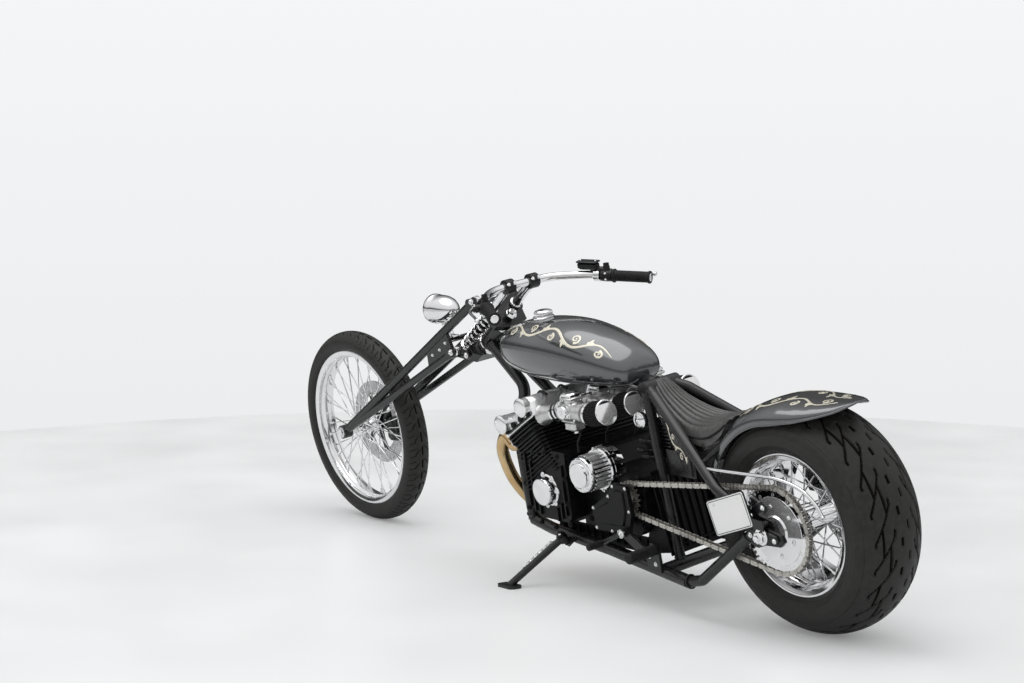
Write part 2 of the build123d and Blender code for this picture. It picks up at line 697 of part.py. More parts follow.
fender_front_deg = 24.0
fender_arc = 90.0 - fender_front_deg
edge_z = axle_z + fender_edge_r
crown_z = axle_z + fender_r + fender_thick
over_axle = Plane(origin=(0, 0, axle_z), x_dir=(0, 1, 0), z_dir=(1, 0, 0))
with BuildSketch(over_axle) as fender_section:
    with BuildLine():
        ThreePointArc((fender_half, fender_edge_r), (0, fender_r), (-fender_half, fender_edge_r))
        Line((-fender_half, fender_edge_r), (-fender_half - fender_thick, fender_edge_r))
        ThreePointArc(
            (-fender_half - fender_thick, fender_edge_r),
            (0, fender_r + fender_thick),
            (fender_half + fender_thick, fender_edge_r),
        )
        Line((fender_half + fender_thick, fender_edge_r), (fender_half, fender_edge_r))
    make_face()
with BuildPart() as rear_fender:
    revolve(fender_section.sketch, axis=rear_axis, revolution_arc=fender_arc)
    extrude(fender_section.sketch, amount=-fender_tail)
    with BuildSketch(Plane.XY):
        for side in (1, -1):
            Polygon(
                (-fender_tail, 0), (-fender_tail + 12, side * 62), (-fender_tail + 42, side * 102),
                (-fender_tail + 140, side * 150), (-2 * fender_tail, side * 150), (-2 * fender_tail, 0), align=None,
            )
    extrude(amount=900, mode=Mode.SUBTRACT)
    with BuildSketch(side_plane(0)):
        Polygon((0, edge_z), (-73, edge_z + 16), (-170, edge_z + 40), (-300, edge_z + 74), (-300, 500), (0, 500), align=None)
    extrude(amount=2 * fender_half, both=True, mode=Mode.SUBTRACT)

# Struts from the stays to the fender's sides
strut_turn = radians(45)
strut_x = (fender_edge_r + 18) * cos(strut_turn)
strut_z = axle_z + (fender_edge_r + 18) * sin(strut_turn)
with BuildSketch(over_axle) as fender_fill:
    with BuildLine():
        ThreePointArc(
            (-fender_half - fender_thick, fender_edge_r),
            (0, fender_r + fender_thick),
            (fender_half + fender_thick, fender_edge_r),
        )
        Line((fender_half + fender_thick, fender_edge_r), (-fender_half - fender_thick, fender_edge_r))
    make_face()
with BuildPart() as welded_stays:
    add(seat_stays.part)
    add(round_bar((strut_x, fender_half - 18, strut_z), (286, 156, 484), 7))
    add(round_bar((strut_x, 18 - fender_half, strut_z), (286, -156, 484), 7))
    revolve(fender_fill.sketch, axis=rear_axis, revolution_arc=fender_arc, mode=Mode.SUBTRACT)

# Chain guard rod over the rear sprocket
guard_y = 166.0
with BuildPart() as chain_guard:
    guard_points = ((212, 180, axle_z + 112), (170, guard_y, axle_z + 156), (-40, guard_y, axle_z + 170),
                    (-150, guard_y, axle_z + 138), (-192, guard_y, axle_z + 76))
    add(bent_bar(guard_points, 5, 55.0))
    add(seat_stays.part, mode=Mode.SUBTRACT)

# Blank number plate beside the rear axle on the left
board_x = 108.0
board_z = 384.0
board_y = 224.0
board_turn = radians(161.5)
with BuildPart() as number_plate:
    with BuildSketch(
        Plane(origin=(board_x, board_y, board_z), x_dir=(cos(board_turn), 0, sin(board_turn)), z_dir=(0, 1, 0))
    ):
        RectangleRounded(plate_width, plate_height, 6)
    extrude(amount=1.6)

with BuildPart() as welded_plates:
    add(axle_plates.part)
    with BuildSketch(side_plane(board_y)):
        Polygon((-22, 352), (150, 372), (150, 400), (-22, 380), align=None)
    extrude(amount=4)
    add(cross_boss(-8, 366, plate_y + plate_thick / 2 - 1, board_y - 2, 8))

# Rear axle with its spacers and nuts
carrier_end = chain_y + sprocket_thick / 2 + 6 + body_gap
disc_end = rear_disc_y - 8 - body_gap
plate_in = plate_y - plate_thick / 2
plate_out = plate_y + plate_thick / 2
with BuildPart() as rear_axle:
    add(cross_boss(0, axle_z, -plate_out - 20, plate_out + 20, axle_r))
    add(cross_boss(0, axle_z, carrier_end, plate_in, 17))
    add(cross_boss(0, axle_z, disc_end, -plate_in, 17))
    for side in (1, -1):
        with BuildSketch(side_plane(side * plate_out)):
            with Locations((0, axle_z)):
                RegularPolygon(18, 6)
        extrude(amount=-side * 14)

# Rear brake caliper on its arm
with BuildPart() as rear_caliper:
    with BuildSketch(side_plane(rear_disc_y)):
        Polygon((66, axle_z + 60), (150, axle_z + 20), (176, axle_z + 72), (92, axle_z + 114), align=None)
    extrude(amount=27, both=True)
    with BuildSketch(side_plane(rear_disc_y)):
        with Locations((0, axle_z)):
            Circle(rear_disc_r + 5)
    extrude(amount=disc_thick / 2 + 3, both=True, mode=Mode.SUBTRACT)
    with BuildSketch(side_plane(-plate_in)):
        Polygon((20, axle_z + 28), (66, axle_z + 60), (92, axle_z + 114), (150, axle_z + 20), (60, axle_z + 4), align=None)
    extrude(amount=-12)
    add(seat_stays.part, mode=Mode.SUBTRACT)
    add(chain_stays.part, mode=Mode.SUBTRACT)

# Foot pegs with their brackets, gear lever on the left and brake pedal on the right
bracket_y = 187.0
with BuildPart() as foot_controls:
    with BuildSketch(side_plane(bracket_y)):
        Polygon((468, 146), (524, 150), (530, 176), (636, 234), (622, 260), (510, 200), (508, 232), (474, 232), align=None)
    extrude(amount=-10)
    add(cross_boss(622, 246, bracket_y + 4, bracket_y + 24, 12))
    add(round_bar((622, bracket_y + 17, 246), (716, bracket_y + 21, 204), 8))
    add(cross_boss(718, 203, bracket_y + 14, bracket_y + 76, 9))
    mirror(about=Plane.XZ)
    add(rails.part, mode=Mode.SUBTRACT)

with BuildPart() as foot_pegs:
    add(cross_boss(490, 214, bracket_y + 10, bracket_y + 112, 17))
    mirror(about=Plane.XZ)

# Girder fork: yokes on the steering stem, links, legs and spring unit
neck_gap = neck_half + body_gap
with BuildPart() as yokes:
    with BuildSketch(head_plane(neck_gap)):
        Polygon((-30, -30), (-30, 30), (-20, yoke_half - 4), (20, yoke_half), (58, yoke_half), (84, 30), (84, -30),
                (58, -yoke_half), (20, -yoke_half), (-20, 4 - yoke_half), align=None)
    extrude(amount=yoke_thick)
    with BuildSketch(head_plane(-neck_gap)):
        Polygon((-28, -40), (-28, 40), (-12, yoke_half), (16, yoke_half), (24, 40), (24, -40), (16, -yoke_half), (-12, -yoke_half),
                align=None)
    extrude(amount=-42)
    add(round_bar(head_point(-neck_gap - 10, 0), head_point(neck_gap + yoke_thick + 12, 0), stem_r))

link_y = yoke_half
link_thick = 8.0
upper_yoke_pivot = head_point(neck_gap + yoke_thick / 2, 38)
lower_yoke_pivot = head_point(-neck_gap - 28, 0)
upper_girder_pivot = Vector(girder_top_x, 0, girder_top_z)
lower_girder_pivot = Vector(girder_low_x, 0, girder_low_z)
with BuildPart() as fork_links:
    for start, end in ((upper_yoke_pivot, upper_girder_pivot), (lower_yoke_pivot, lower_girder_pivot)):
        middle = (start + end) * 0.5
        span = end - start
        with BuildSketch(Plane(origin=(middle.X, link_y, middle.Z), x_dir=span, z_dir=(0, 1, 0))):
            SlotCenterToCenter(span.length, 30)
        extrude(amount=link_thick)
    mirror(about=Plane.XZ)

leg_in = link_y + link_thick
leg_out = leg_in + 2 * girder_front_r + 2
axle_end = (wheelbase, girder_y, front_axle_z)
with BuildPart() as girder_legs:
    add(round_bar((girder_top_x - 16, girder_y, girder_top_z + 9), axle_end, girder_front_r))
    add(round_bar((girder_low_x - 16, girder_y, girder_low_z + 8), axle_end, girder_rear_r))
    add(cross_boss(girder_top_x, girder_top_z, leg_in, leg_out, 17))
    add(cross_boss(girder_low_x, girder_low_z, leg_in, leg_out, 17))
    add(cross_boss(wheelbase, front_axle_z, leg_in, leg_out, 24))
    with BuildSketch(side_plane(girder_y)):
        Polygon((1532, 702), (1600, 664), (1684, 626), (1684, 696), (1600, 745), (1560, 768), align=None)
    extrude(amount=6, both=True)
    mirror(about=Plane.XZ)
    shock_foot = head_point(-196, shock_offset)
    add(cross_boss(shock_foot.X, shock_foot.Z, -girder_y, girder_y, 10))
    add(cross_boss(1660, 710, -girder_y, girder_y, 9))
    add(cross_boss(wheelbase, front_axle_z, -150, 150, axle_r + running_gap), mode=Mode.SUBTRACT)

spring_top = 22.0
spring_low = -166.0
with BuildPart() as shock:
    add(round_bar(head_point(neck_gap, shock_offset), head_point(spring_top, shock_offset), 9))
    add(round_bar(head_point(spring_top + 10, shock_offset), head_point(spring_top, shock_offset), spring_r + 2))
    add(round_bar(head_point(spring_top, shock_offset), head_point(-196, shock_offset), 13))
    add(round_bar(head_point(spring_low, shock_offset), head_point(spring_low - 10, shock_offset), spring_r + 2))
    add(girder_legs.part, mode=Mode.SUBTRACT)

with BuildPart() as shock_spring:
    spring_step = (spring_top - spring_low) / spring_turns
    for turn in range(spring_turns):
        up = spring_low + spring_step * (turn + 0.5)
        add(round_bar(head_point(up - 4.5, shock_offset), head_point(up + 4.5, shock_offset), spring_r))
    add(round_bar(head_point(spring_low, shock_offset), head_point(spring_top, shock_offset), 15))
    add(round_bar(head_point(spring_low - 1, shock_offset), head_point(spring_top + 1, shock_offset), 13), mode=Mode.SUBTRACT)

with BuildPart() as front_axle:
    add(cross_boss(wheelbase, front_axle_z, -leg_out - 14, leg_out + 14, axle_r))
    add(cross_boss(wheelbase, front_axle_z, front_hub_half + body_gap, leg_in, 16))
    add(cross_boss(wheelbase, front_axle_z, front_disc_y - 7 - body_gap, -leg_in, 16))
    for side in (1, -1):
        with BuildSketch(side_plane(side * leg_out)):
            with Locations((wheelbase, front_axle_z)):
                RegularPolygon(17, 6)
        extrude(amount=-side * 10)

with BuildPart() as front_caliper:
    with BuildSketch(side_plane(front_disc_y)):
        Polygon((wheelbase - 149, front_axle_z - 46), (wheelbase - 89, front_axle_z - 54),
                (wheelbase - 79, front_axle_z + 20), (wheelbase - 143, front_axle_z + 38), align=None)
    extrude(amount=24, both=True)
    with BuildSketch(side_plane(front_disc_y)):
        with Locations((wheelbase, front_axle_z)):
            Circle(front_disc_r + 5)
    extrude(amount=disc_thick / 2 + 3, both=True, mode=Mode.SUBTRACT)
    with BuildSketch(side_plane(-girder_y)):
        Polygon((wheelbase - 145, front_axle_z - 16), (wheelbase - 85, front_axle_z - 16),
                (wheelbase - 79, front_axle_z + 46), (wheelbase - 145, front_axle_z + 74), align=None)
    extrude(amount=-16)
    add(girder_legs.part, mode=Mode.SUBTRACT)

# Headlamp: bullet shell on a stalk, and its lens
with BuildPart() as headlamp:
    with BuildSketch(Plane(origin=(lamp_x, 0, lamp_z), x_dir=(1, 0, 0), z_dir=(0, -1, 0))):
        with BuildLine():
            Line((-68, 0), (54, 0))
            Line((54, 0), (54, lamp_r))
            Line((54, lamp_r), (36, lamp_r))
            ThreePointArc((36, lamp_r), (-34, 0.76 * lamp_r), (-68, 0))
        make_face()
    revolve(axis=Axis((lamp_x, 0, lamp_z), (1, 0, 0)))
    add(round_bar((lamp_x + 44, 0, lamp_z), (lamp_x + 80, 0, lamp_z), lamp_r - 5), mode=Mode.SUBTRACT)
    add(round_bar((1660, 0, 710), (lamp_x - 10, 0, lamp_z - 34), 9))
    add(girder_legs.part, mode=Mode.SUBTRACT)

with BuildPart() as headlamp_lens:
    add(round_bar((lamp_x + 44, 0, lamp_z), (lamp_x + 51, 0, lamp_z), lamp_r - 5))

# Pulled-back handlebar on two risers, grips, lever perches and levers
bar_middle = head_point(neck_gap + yoke_thick + riser_length + 18, riser_fore)
bar_bend = Vector(1154, 215, 912)
bar_end = Vector(bar_end_x, bar_end_y, bar_end_z)
bar_points = ((bar_middle.X, 0, bar_middle.Z), (bar_middle.X, 116, bar_middle.Z), bar_bend, bar_end)
with BuildPart() as handlebar:
    add(bent_bar(bar_points, bar_r, 45.0))
    mirror(about=Plane.XZ)

with BuildPart() as risers:
    add(round_bar(head_point(neck_gap + yoke_thick, riser_fore, riser_y), bar_middle + Vector(0, riser_y, 0), riser_r))
    add(cross_boss(bar_middle.X, bar_middle.Z, riser_y - 17, riser_y + 17, 24))
    mirror(about=Plane.XZ)
    add(handlebar.part, mode=Mode.SUBTRACT)

grip_run = (bar_end - bar_bend).normalized()
grip_out = Vector(-grip_run.Y, grip_run.X, 0).normalized() * -1
with BuildPart() as grips:
    add(round_bar(bar_end - grip_run * grip_length, bar_end + grip_run * 4, grip_r))
    add(round_bar(bar_end + grip_run * 4, bar_end, bar_r), mode=Mode.SUBTRACT)
    mirror(about=Plane.XZ)
    add(handlebar.part, mode=Mode.SUBTRACT)

perch = bar_end - grip_run * (grip_length + 22)
lever_pivot = perch + grip_out * 34
with BuildPart() as perches:
    add(round_bar(perch - grip_run * 16, perch + grip_run * 16, 19))
    add(round_bar(perch, lever_pivot + grip_out * 6, 12))
    add(round_bar(perch + Vector(0, 0, 8), perch + Vector(0, 0, 40), 9))
    add(round_bar(perch + Vector(0, 0, 24), perch + Vector(0, 0, 41), 5), mode=Mode.SUBTRACT)
    mirror(about=Plane.XZ)
    spot = perch - grip_run * 62 + Vector(0, 0, 16)
    add(round_bar((perch.X, -perch.Y, perch.Z + 14), (spot.X, -spot.Y, spot.Z + 8), 10))
    with BuildSketch(Plane(origin=(spot.X, -spot.Y, spot.Z), x_dir=(grip_run.X, -grip_run.Y, 0), z_dir=(0, 0, 1))):
        RectangleRounded(66, 40, 8)
    extrude(amount=28)
    add(round_bar((perch.X, -perch.Y, perch.Z + 24), (perch.X, -perch.Y, perch.Z + 60), 5), mode=Mode.SUBTRACT)
    add(handlebar.part, mode=Mode.SUBTRACT)

lever_end = bar_end + grip_out * 52 - grip_run * 8
with BuildPart() as levers:
    add(round_bar(lever_pivot + grip_out * 6, lever_pivot + grip_out * 14, 9))
    add(bent_bar((lever_pivot + grip_out * 14, lever_pivot + grip_out * 20 + grip_run * 40, lever_end), 5, 30.0))
    mirror(about=Plane.XZ)
    add(perches.part, mode=Mode.SUBTRACT)

# Side stand: pivot pin on the left rail, leg and flat foot on the floor
foot_place = stance.inverse() * Location((stand_foot_x, stand_foot_y, 0))
foot_plane = Plane(foot_place)
foot = foot_place.position
stand_pivot = Vector(stand_pivot_x, stand_pivot_y, stand_pivot_z)
leg_run = foot + foot_plane.z_dir * 12 - stand_pivot
stand_axis = Vector(1, 0, 0).cross(leg_run).normalized()
with BuildPart() as welded_rails:
    add(rails.part)
    add(round_bar(stand_pivot - stand_axis * 27, stand_pivot + stand_axis * 16, 7))
    add(round_bar(stand_pivot + stand_axis * 12.3, stand_pivot + stand_axis * 18, 12))
    add(round_bar(stand_pivot - stand_axis * 27, (stand_pivot_x, rail_y + 4, 172), 12))

with BuildPart() as side_stand:
    add(round_bar(stand_pivot - stand_axis * 12, stand_pivot + stand_axis * 12, 16))
    add(round_bar(stand_pivot, foot + foot_plane.z_dir * 6, stand_leg_r))
    with BuildSketch(foot_plane):
        RectangleRounded(76, 50, 16)
    extrude(amount=9)
    add(round_bar(stand_pivot - stand_axis * 13, stand_pivot + stand_axis * 13, 7 + running_gap), mode=Mode.SUBTRACT)
    with BuildSketch(foot_plane):
        Rectangle(400, 400)
    extrude(amount=-40, mode=Mode.SUBTRACT)

nodes = {
    "frame_neck": frame_neck.part,
    "frame_backbone": frame_backbone.part,
    "frame_downtubes": downtubes.part,
    "frame_rails": welded_rails.part,
    "frame_chain_stays": chain_stays.part,
    "frame_seat_stays": welded_stays.part,
    "frame_axle_plates": welded_plates.part,
    "frame_crossmembers": crossmembers.part,
    "crankcase": crankcase.part,
    "cylinder_block": cylinder_block.part,
    "cylinder_head": cylinder_head.part,
    "cam_cover": cam_cover.part,
    "side_covers": side_covers.part,
    "engine_covers": alternator.part,
    "carburettors": carburettors.part,
    "air_filters": air_filters.part,
    "filter_caps": filter_caps.part,
    "exhaust_headers": headers.part,
    "silencer": silencer.part,
    "chain": chain.part,
    "front_sprocket": front_sprocket.part,
    "fuel_tank": fuel_tank.part,
    "filler_cap": filler_cap.part,
    "seat": seat.part,
    "side_panels": side_panels.part,
    "rear_fender": rear_fender.part,
    "chain_guard": chain_guard.part,
    "number_plate": number_plate.part,
    "rear_axle": rear_axle.part,
    "rear_caliper": rear_caliper.part,
    "foot_pegs": foot_pegs.part,
    "foot_controls": foot_controls.part,
    "fork_yokes": yokes.part,
    "fork_links": fork_links.part,
    "girder_legs": girder_legs.part,
    "shock": shock.part,
    "shock_spring": shock_spring.part,
    "front_axle": front_axle.part,
    "front_caliper": front_caliper.part,
    "headlamp": headlamp.part,
    "headlamp_lens": headlamp_lens.part,
    "handlebar": handlebar.part,
    "risers": risers.part,
    "grips": grips.part,
    "lever_perches": perches.part,
    "hand_levers": levers.part,
    "front_tyre": front_tyre,
    "front_rim": front_rim,
    "front_hub": front_hub,
    "front_disc": front_disc.part,
    "rear_tyre": rear_tyre,
    "rear_rim": rear_rim,
    "rear_hub": rear_hub,
    "rear_sprocket": rear_sprocket.part,
    "rear_disc": rear_disc.part,
    "side_stand": side_stand.part,
}
leaned = {}
for name, part in nodes.items():
    leaned[name] = part.moved(stance)
boxes = [part.bounding_box() for part in leaned.values()]
middle_x = 0.5 * (min(box.min.X for box in boxes) + max(box.max.X for box in boxes))
middle_y = 0.5 * (min(box.min.Y for box in boxes) + max(box.max.Y for box in boxes))
to_origin = Location((-middle_x, -middle_y, 0))
os.makedirs("parts", exist_ok=True)
for name, part in leaned.items():
    placed = part.moved(to_origin)
    placed.label = name
    export_step(placed, "parts/" + name + ".step")
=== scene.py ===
import bpy
import bmesh
import json
import numpy as np
from math import asin, atan2, copysign, cos, hypot, pi, radians, sin, sqrt, tan
from mathutils import Matrix, Quaternion, Vector
from mathutils.bvhtree import BVHTree


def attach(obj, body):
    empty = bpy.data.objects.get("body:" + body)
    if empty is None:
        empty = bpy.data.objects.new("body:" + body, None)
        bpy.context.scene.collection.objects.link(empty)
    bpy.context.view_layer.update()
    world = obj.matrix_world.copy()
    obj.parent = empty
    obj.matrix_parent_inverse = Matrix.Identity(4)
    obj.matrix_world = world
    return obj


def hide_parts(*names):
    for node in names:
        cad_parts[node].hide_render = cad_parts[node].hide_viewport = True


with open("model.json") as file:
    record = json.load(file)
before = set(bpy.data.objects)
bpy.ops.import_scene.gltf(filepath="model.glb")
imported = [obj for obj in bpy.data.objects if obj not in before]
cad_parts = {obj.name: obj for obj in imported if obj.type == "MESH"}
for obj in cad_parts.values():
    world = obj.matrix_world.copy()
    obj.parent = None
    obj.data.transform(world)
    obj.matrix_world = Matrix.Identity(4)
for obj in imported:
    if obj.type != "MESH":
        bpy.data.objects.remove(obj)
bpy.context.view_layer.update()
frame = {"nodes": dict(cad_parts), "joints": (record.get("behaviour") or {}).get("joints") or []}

# upright drawing frame in mm: x forward, y left, z up, rear axle above the origin
bike = {"rearRadius": 332.0, "frontRadius": 346.0, "wheelbase": 2285.0}
jointOf = {j["name"]: j for j in frame["joints"]}
rearHubSpot = Vector(jointOf["rear_wheel_spin"]["pos_m"])
hubRun = Vector(jointOf["front_wheel_spin"]["pos_m"]) - rearHubSpot
leftWay = Vector(jointOf["rear_wheel_spin"]["axis"]).normalized()
rise = asin((bike["frontRadius"] - bike["rearRadius"]) / 1000 / hubRun.length)
forwardWay = Quaternion(leftWay, rise) @ hubRun.normalized()
upWay = forwardWay.cross(leftWay)
toRow = Matrix((forwardWay, leftWay, upWay)).transposed().to_4x4() @ Matrix.Scale(0.001, 4)
toRow.translation = rearHubSpot - upWay * bike["rearRadius"] / 1000
rearHub, frontHub = (0.0, bike["rearRadius"]), (bike["wheelbase"], bike["frontRadius"])
ahead, leftSide, upward = Vector((1, 0, 0)), Vector((0, 1, 0)), Vector((0, 0, 1))
print("bike frame ready")


# cosine and sine of even steps round a circle
def circle(count, start=0.0):
    return [(cos(start + 2 * pi * k / count), sin(start + 2 * pi * k / count)) for k in range(count)]


# direction in the side plane
def ray(angle):
    return Vector((cos(angle), 0, sin(angle)))


# mesh collector in bike millimetres
class PartMesh:
    def __init__(self):
        self.points, self.faces, self.finish = [], [], []

    def add(self, points, faces, finish=0):
        start = len(self.points)
        self.points += [tuple(p) for p in points]
        self.faces += [tuple(start + i for i in f) for f in faces]
        self.finish += [finish] * len(faces)

    # repeats all that is there on the other side
    def mirror(self):
        start = len(self.points)
        self.points += [(x, -y, z) for x, y, z in self.points]
        self.faces += [tuple(start + i for i in reversed(f)) for f in self.faces]
        self.finish += self.finish

    # grid of rows of points, closed round either way
    def sheet(self, rows, aroundRows=False, aroundCols=True, caps=False, finish=0):
        n, m = len(rows), len(rows[0])
        faces = []
        for i in range(n if aroundRows else n - 1):
            for j in range(m if aroundCols else m - 1):
                below, beside = (i + 1) % n * m, (j + 1) % m
                faces.append((i * m + j, i * m + beside, below + beside, below + j))
        if caps:
            faces.append(tuple(range(m)))
            faces.append(tuple((n - 1) * m + j for j in reversed(range(m))))
        self.add([p for row in rows for p in row], faces, finish)

    # round tube along points, radius may change along it
    def tube(self, path, radius, sides=12, finish=0, closed=False, flat=1.0):
        path = [Vector(p) for p in path]
        n = len(path)
        radii = radius if isinstance(radius, list) else [radius] * n
        way = (path[1] - path[0]).normalized()
        side = way.orthogonal().normalized()
        rows = []
        for i, p in enumerate(path):
            before, after = (i - 1, (i + 1) % n) if closed else (max(i - 1, 0), min(i + 1, n - 1))
            run = (path[after] - path[before]).normalized()
            side = way.rotation_difference(run) @ side
            side = (side - run * side.dot(run)).normalized()
            way = run
            up = way.cross(side)
            rows.append([p + (side * c + up * s * flat) * radii[i] for c, s in circle(sides)])
        self.sheet(rows, closed, caps=not closed, finish=finish)

    # turned form: profile of (distance along the axis, radius)
    def turned(self, place, axis, profile, sides=32, finish=0, closed=False):
        place, axis = Vector(place), Vector(axis).normalized()
        side = axis.orthogonal().normalized()
        up = axis.cross(side)
        rows = []
        for along, r in profile:
            middle = place + axis * along
            rows.append([middle + (side * c + up * s) * max(r, 0.01) for c, s in circle(sides)])
        self.sheet(rows, closed, caps=not closed, finish=finish)

    # hexagon or domed head with washer, its foot at place
    def bolt(self, place, axis, size=8.0, finish=0, dome=False):
        r = size / 2
        self.turned(place, axis, [(-1, r * 1.45), (r * 0.22, r * 1.45), (r * 0.3, r * 1.3)], 18, finish)
        shape = ((0, 1.14), (0.9, 1.14), (1.15, 0.92), (1.15, 0.2))
        if dome:
            shape = ((0, 1.1), (0.5, 1.1), (0.95, 0.8), (1.15, 0.3))
        self.turned(place, axis, [(a * r, b * r) for a, b in shape], 16 if dome else 6, finish)

    # ring of bolts in the side plane
    def boltRing(self, middle, reach, count, start, axis, size, finish=0, dome=False):
        for c, s in circle(count, start):
            self.bolt(Vector(middle) + Vector((reach * c, 0, reach * s)), axis, size, finish, dome)

    # flat outline of (x, z) points between two side offsets, with a small edge break
    def plate(self, outline, yFrom, yTo, edge=1.0, finish=0):
        outline = [Vector(p) for p in outline]
        middle = sum(outline, Vector((0, 0))) / len(outline)
        step = edge if yTo > yFrom else -edge
        rows = []
        for y, inset in ((yFrom, edge), (yFrom + step, 0), (yTo - step, 0), (yTo, edge)):
            spots = [p + (middle - p).normalized() * inset for p in outline]
            rows.append([(p.x, y, p.y) for p in spots])
        self.sheet(rows, caps=True, finish=finish)

    # block with broken edges, turned by three directions
    def block(self, middle, size, edge=1.5, ways=(ahead, leftSide, upward), finish=0):
        a, b, c = [s / 2 for s in size]
        rows = []
        for h, inset in ((-c, edge), (-c + edge, 0), (c - edge, 0), (c, edge)):
            p, q = a - inset, b - inset
            corners = ((p - edge, q), (-p + edge, q), (-p, q - edge), (-p, -q + edge),
                       (-p + edge, -q), (p - edge, -q), (p, -q + edge), (p, q - edge))
            rows.append([Vector(middle) + ways[0] * u + ways[1] * v + ways[2] * h for u, v in corners])
        self.sheet(rows, caps=True, finish=finish)


# smooth line through a few points
def smoothLine(points, steps=8):
    pts = [Vector(p) for p in points]
    pts = [pts[0] * 2 - pts[1]] + pts + [pts[-1] * 2 - pts[-2]]
    out = []
    for a, b, c, d in zip(pts, pts[1:], pts[2:], pts[3:]):
        for k in range(steps):
            t = k / steps
            out.append(0.5 * (2 * b + (c - a) * t + (2 * a - 5 * b + 4 * c - d) * t * t
                              + (3 * b - a - 3 * c + d) * t ** 3))
    return out + [pts[-2]]


def cleanMesh(mesh, reach):
    bm = bmesh.new()
    bm.from_mesh(mesh)
    if reach:
        bmesh.ops.remove_doubles(bm, verts=bm.verts, dist=reach)
    bmesh.ops.recalc_face_normals(bm, faces=bm.faces)
    bm.to_mesh(mesh)
    bm.free()


def addObject(name, data):
    thing = bpy.data.objects.new(name, data)
    bpy.context.scene.collection.objects.link(thing)
    return thing


# turns a collected mesh into a riding object
def makePiece(part, name, finishes, hides="", body="chassis", sharp=35, merge=True):
    mesh = bpy.data.meshes.new(name)
    mesh.from_pydata(part.points, [], part.faces)
    mesh.polygons.foreach_set("material_index", part.finish)
    mesh.transform(toRow)
    cleanMesh(mesh, 2e-5 if merge else 0)
    keys = finishes.split()
    for key in keys:
        mesh.materials.append(finishOf[key])
    mesh.shade_smooth()
    mesh.set_sharp_from_angle(angle=radians(sharp))
    piece = addObject(name, mesh)
    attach(piece, body)
    if hides:
        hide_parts(*hides.split())
    return piece


# an input is a value or another node's output
def setInputs(tree, node, inputs):
    for key, value in inputs.items():
        if isinstance(value, bpy.types.NodeSocket):
            tree.links.new(value, node.inputs[key])
        else:
            node.inputs[key].default_value = value


def addNode(tree, kind, inputs, **settings):
    node = tree.nodes.new("ShaderNode" + kind)
    for key, value in settings.items():
        setattr(node, key, value)
    setInputs(tree, node, inputs)
    return node


def mapRange(tree, value, fromMin, fromMax, toMin, toMax):
    inputs = {"Value": value, "From Min": fromMin, "From Max": fromMax, "To Min": toMin, "To Max": toMax}
    return addNode(tree, "MapRange", inputs).outputs["Result"]


finishOf, slotOf = {}, {}


# a finish of two tones with uneven gloss, and fine grain where asked
def makeFinish(name, slot, colour, alt, rough, spread, metal=0.0, grain=40.0, bump=0.0, bumpGrain=400.0,
               coat=0.0, level=0.5, detail=4.0):
    mat = bpy.data.materials.new(name)
    mat.use_nodes = True
    tree = mat.node_tree
    place = addNode(tree, "TexCoord", {}).outputs["Object"]
    noise = addNode(tree, "TexNoise", {"Vector": place, "Scale": grain, "Detail": detail}).outputs["Fac"]
    ramp = addNode(tree, "ValToRGB", {"Fac": noise})
    for stop, position, tone in zip(ramp.color_ramp.elements, (0.36, 0.66), (colour, alt)):
        stop.position = position
        stop.color = (*tone, 1)
    inputs = {"Base Color": ramp.outputs["Color"],
              "Roughness": mapRange(tree, noise, 0.3, 0.7, max(rough - spread, 0.02), rough + spread),
              "Metallic": metal, "Specular IOR Level": level, "Coat Weight": coat, "Coat Roughness": 0.05}
    if bump:
        fine = addNode(tree, "TexNoise", {"Vector": place, "Scale": bumpGrain, "Detail": 3}).outputs["Fac"]
        lift = addNode(tree, "Bump", {"Height": fine, "Strength": bump, "Distance": 0.0006})
        inputs["Normal"] = lift.outputs["Normal"]
    setInputs(tree, tree.nodes["Principled BSDF"], inputs)
    finishOf[name], slotOf[name] = mat, slot
    return tree


makeFinish("frameSatin", "frame_paint", (0.006, 0.006, 0.007), (0.011, 0.011, 0.012), 0.26, 0.07,
           bump=0.08, bumpGrain=900)
makeFinish("graphiteGloss", "body_paint", (0.085, 0.088, 0.091), (0.125, 0.128, 0.132), 0.20, 0.05,
           metal=0.72, grain=2600, coat=1.0)
makeFinish("creamScroll", "body_paint", (0.62, 0.57, 0.43), (0.80, 0.77, 0.66), 0.34, 0.05,
           metal=0.15, grain=500, coat=0.8)
makeFinish("engineBlack", "engine_black", (0.002, 0.002, 0.002), (0.006, 0.006, 0.007), 0.36, 0.1,
           bump=0.2, bumpGrain=1500, level=0.18)
makeFinish("brightChrome", "bright_chrome", (0.80, 0.80, 0.81), (0.88, 0.88, 0.88), 0.07, 0.035,
           metal=1.0, grain=25)
makeFinish("castAlloy", "cast_alloy", (0.54, 0.54, 0.54), (0.66, 0.66, 0.65), 0.33, 0.06,
           metal=0.9, grain=60, bump=0.06, bumpGrain=1500)
makeFinish("polishedAlloy", "bright_chrome", (0.80, 0.80, 0.81), (0.88, 0.88, 0.88), 0.13, 0.05,
           metal=0.75, grain=30)
makeFinish("controlBlack", "control_black", (0.004, 0.004, 0.005), (0.009, 0.009, 0.010), 0.28, 0.08,
           grain=90, bump=0.06, bumpGrain=900, level=0.35)
makeFinish("filterBlack", "filter_black", (0.004, 0.004, 0.004), (0.012, 0.012, 0.011), 0.75, 0.1,
           grain=300, bump=0.4, bumpGrain=1800, level=0.25)
makeFinish("tintedSteel", "tinted_steel", (0.50, 0.33, 0.15), (0.66, 0.50, 0.28), 0.20, 0.08,
           metal=1.0, grain=9)
makeFinish("chainSteel", "chain_steel", (0.44, 0.43, 0.40), (0.64, 0.62, 0.57), 0.34, 0.12,
           metal=0.9, grain=160)
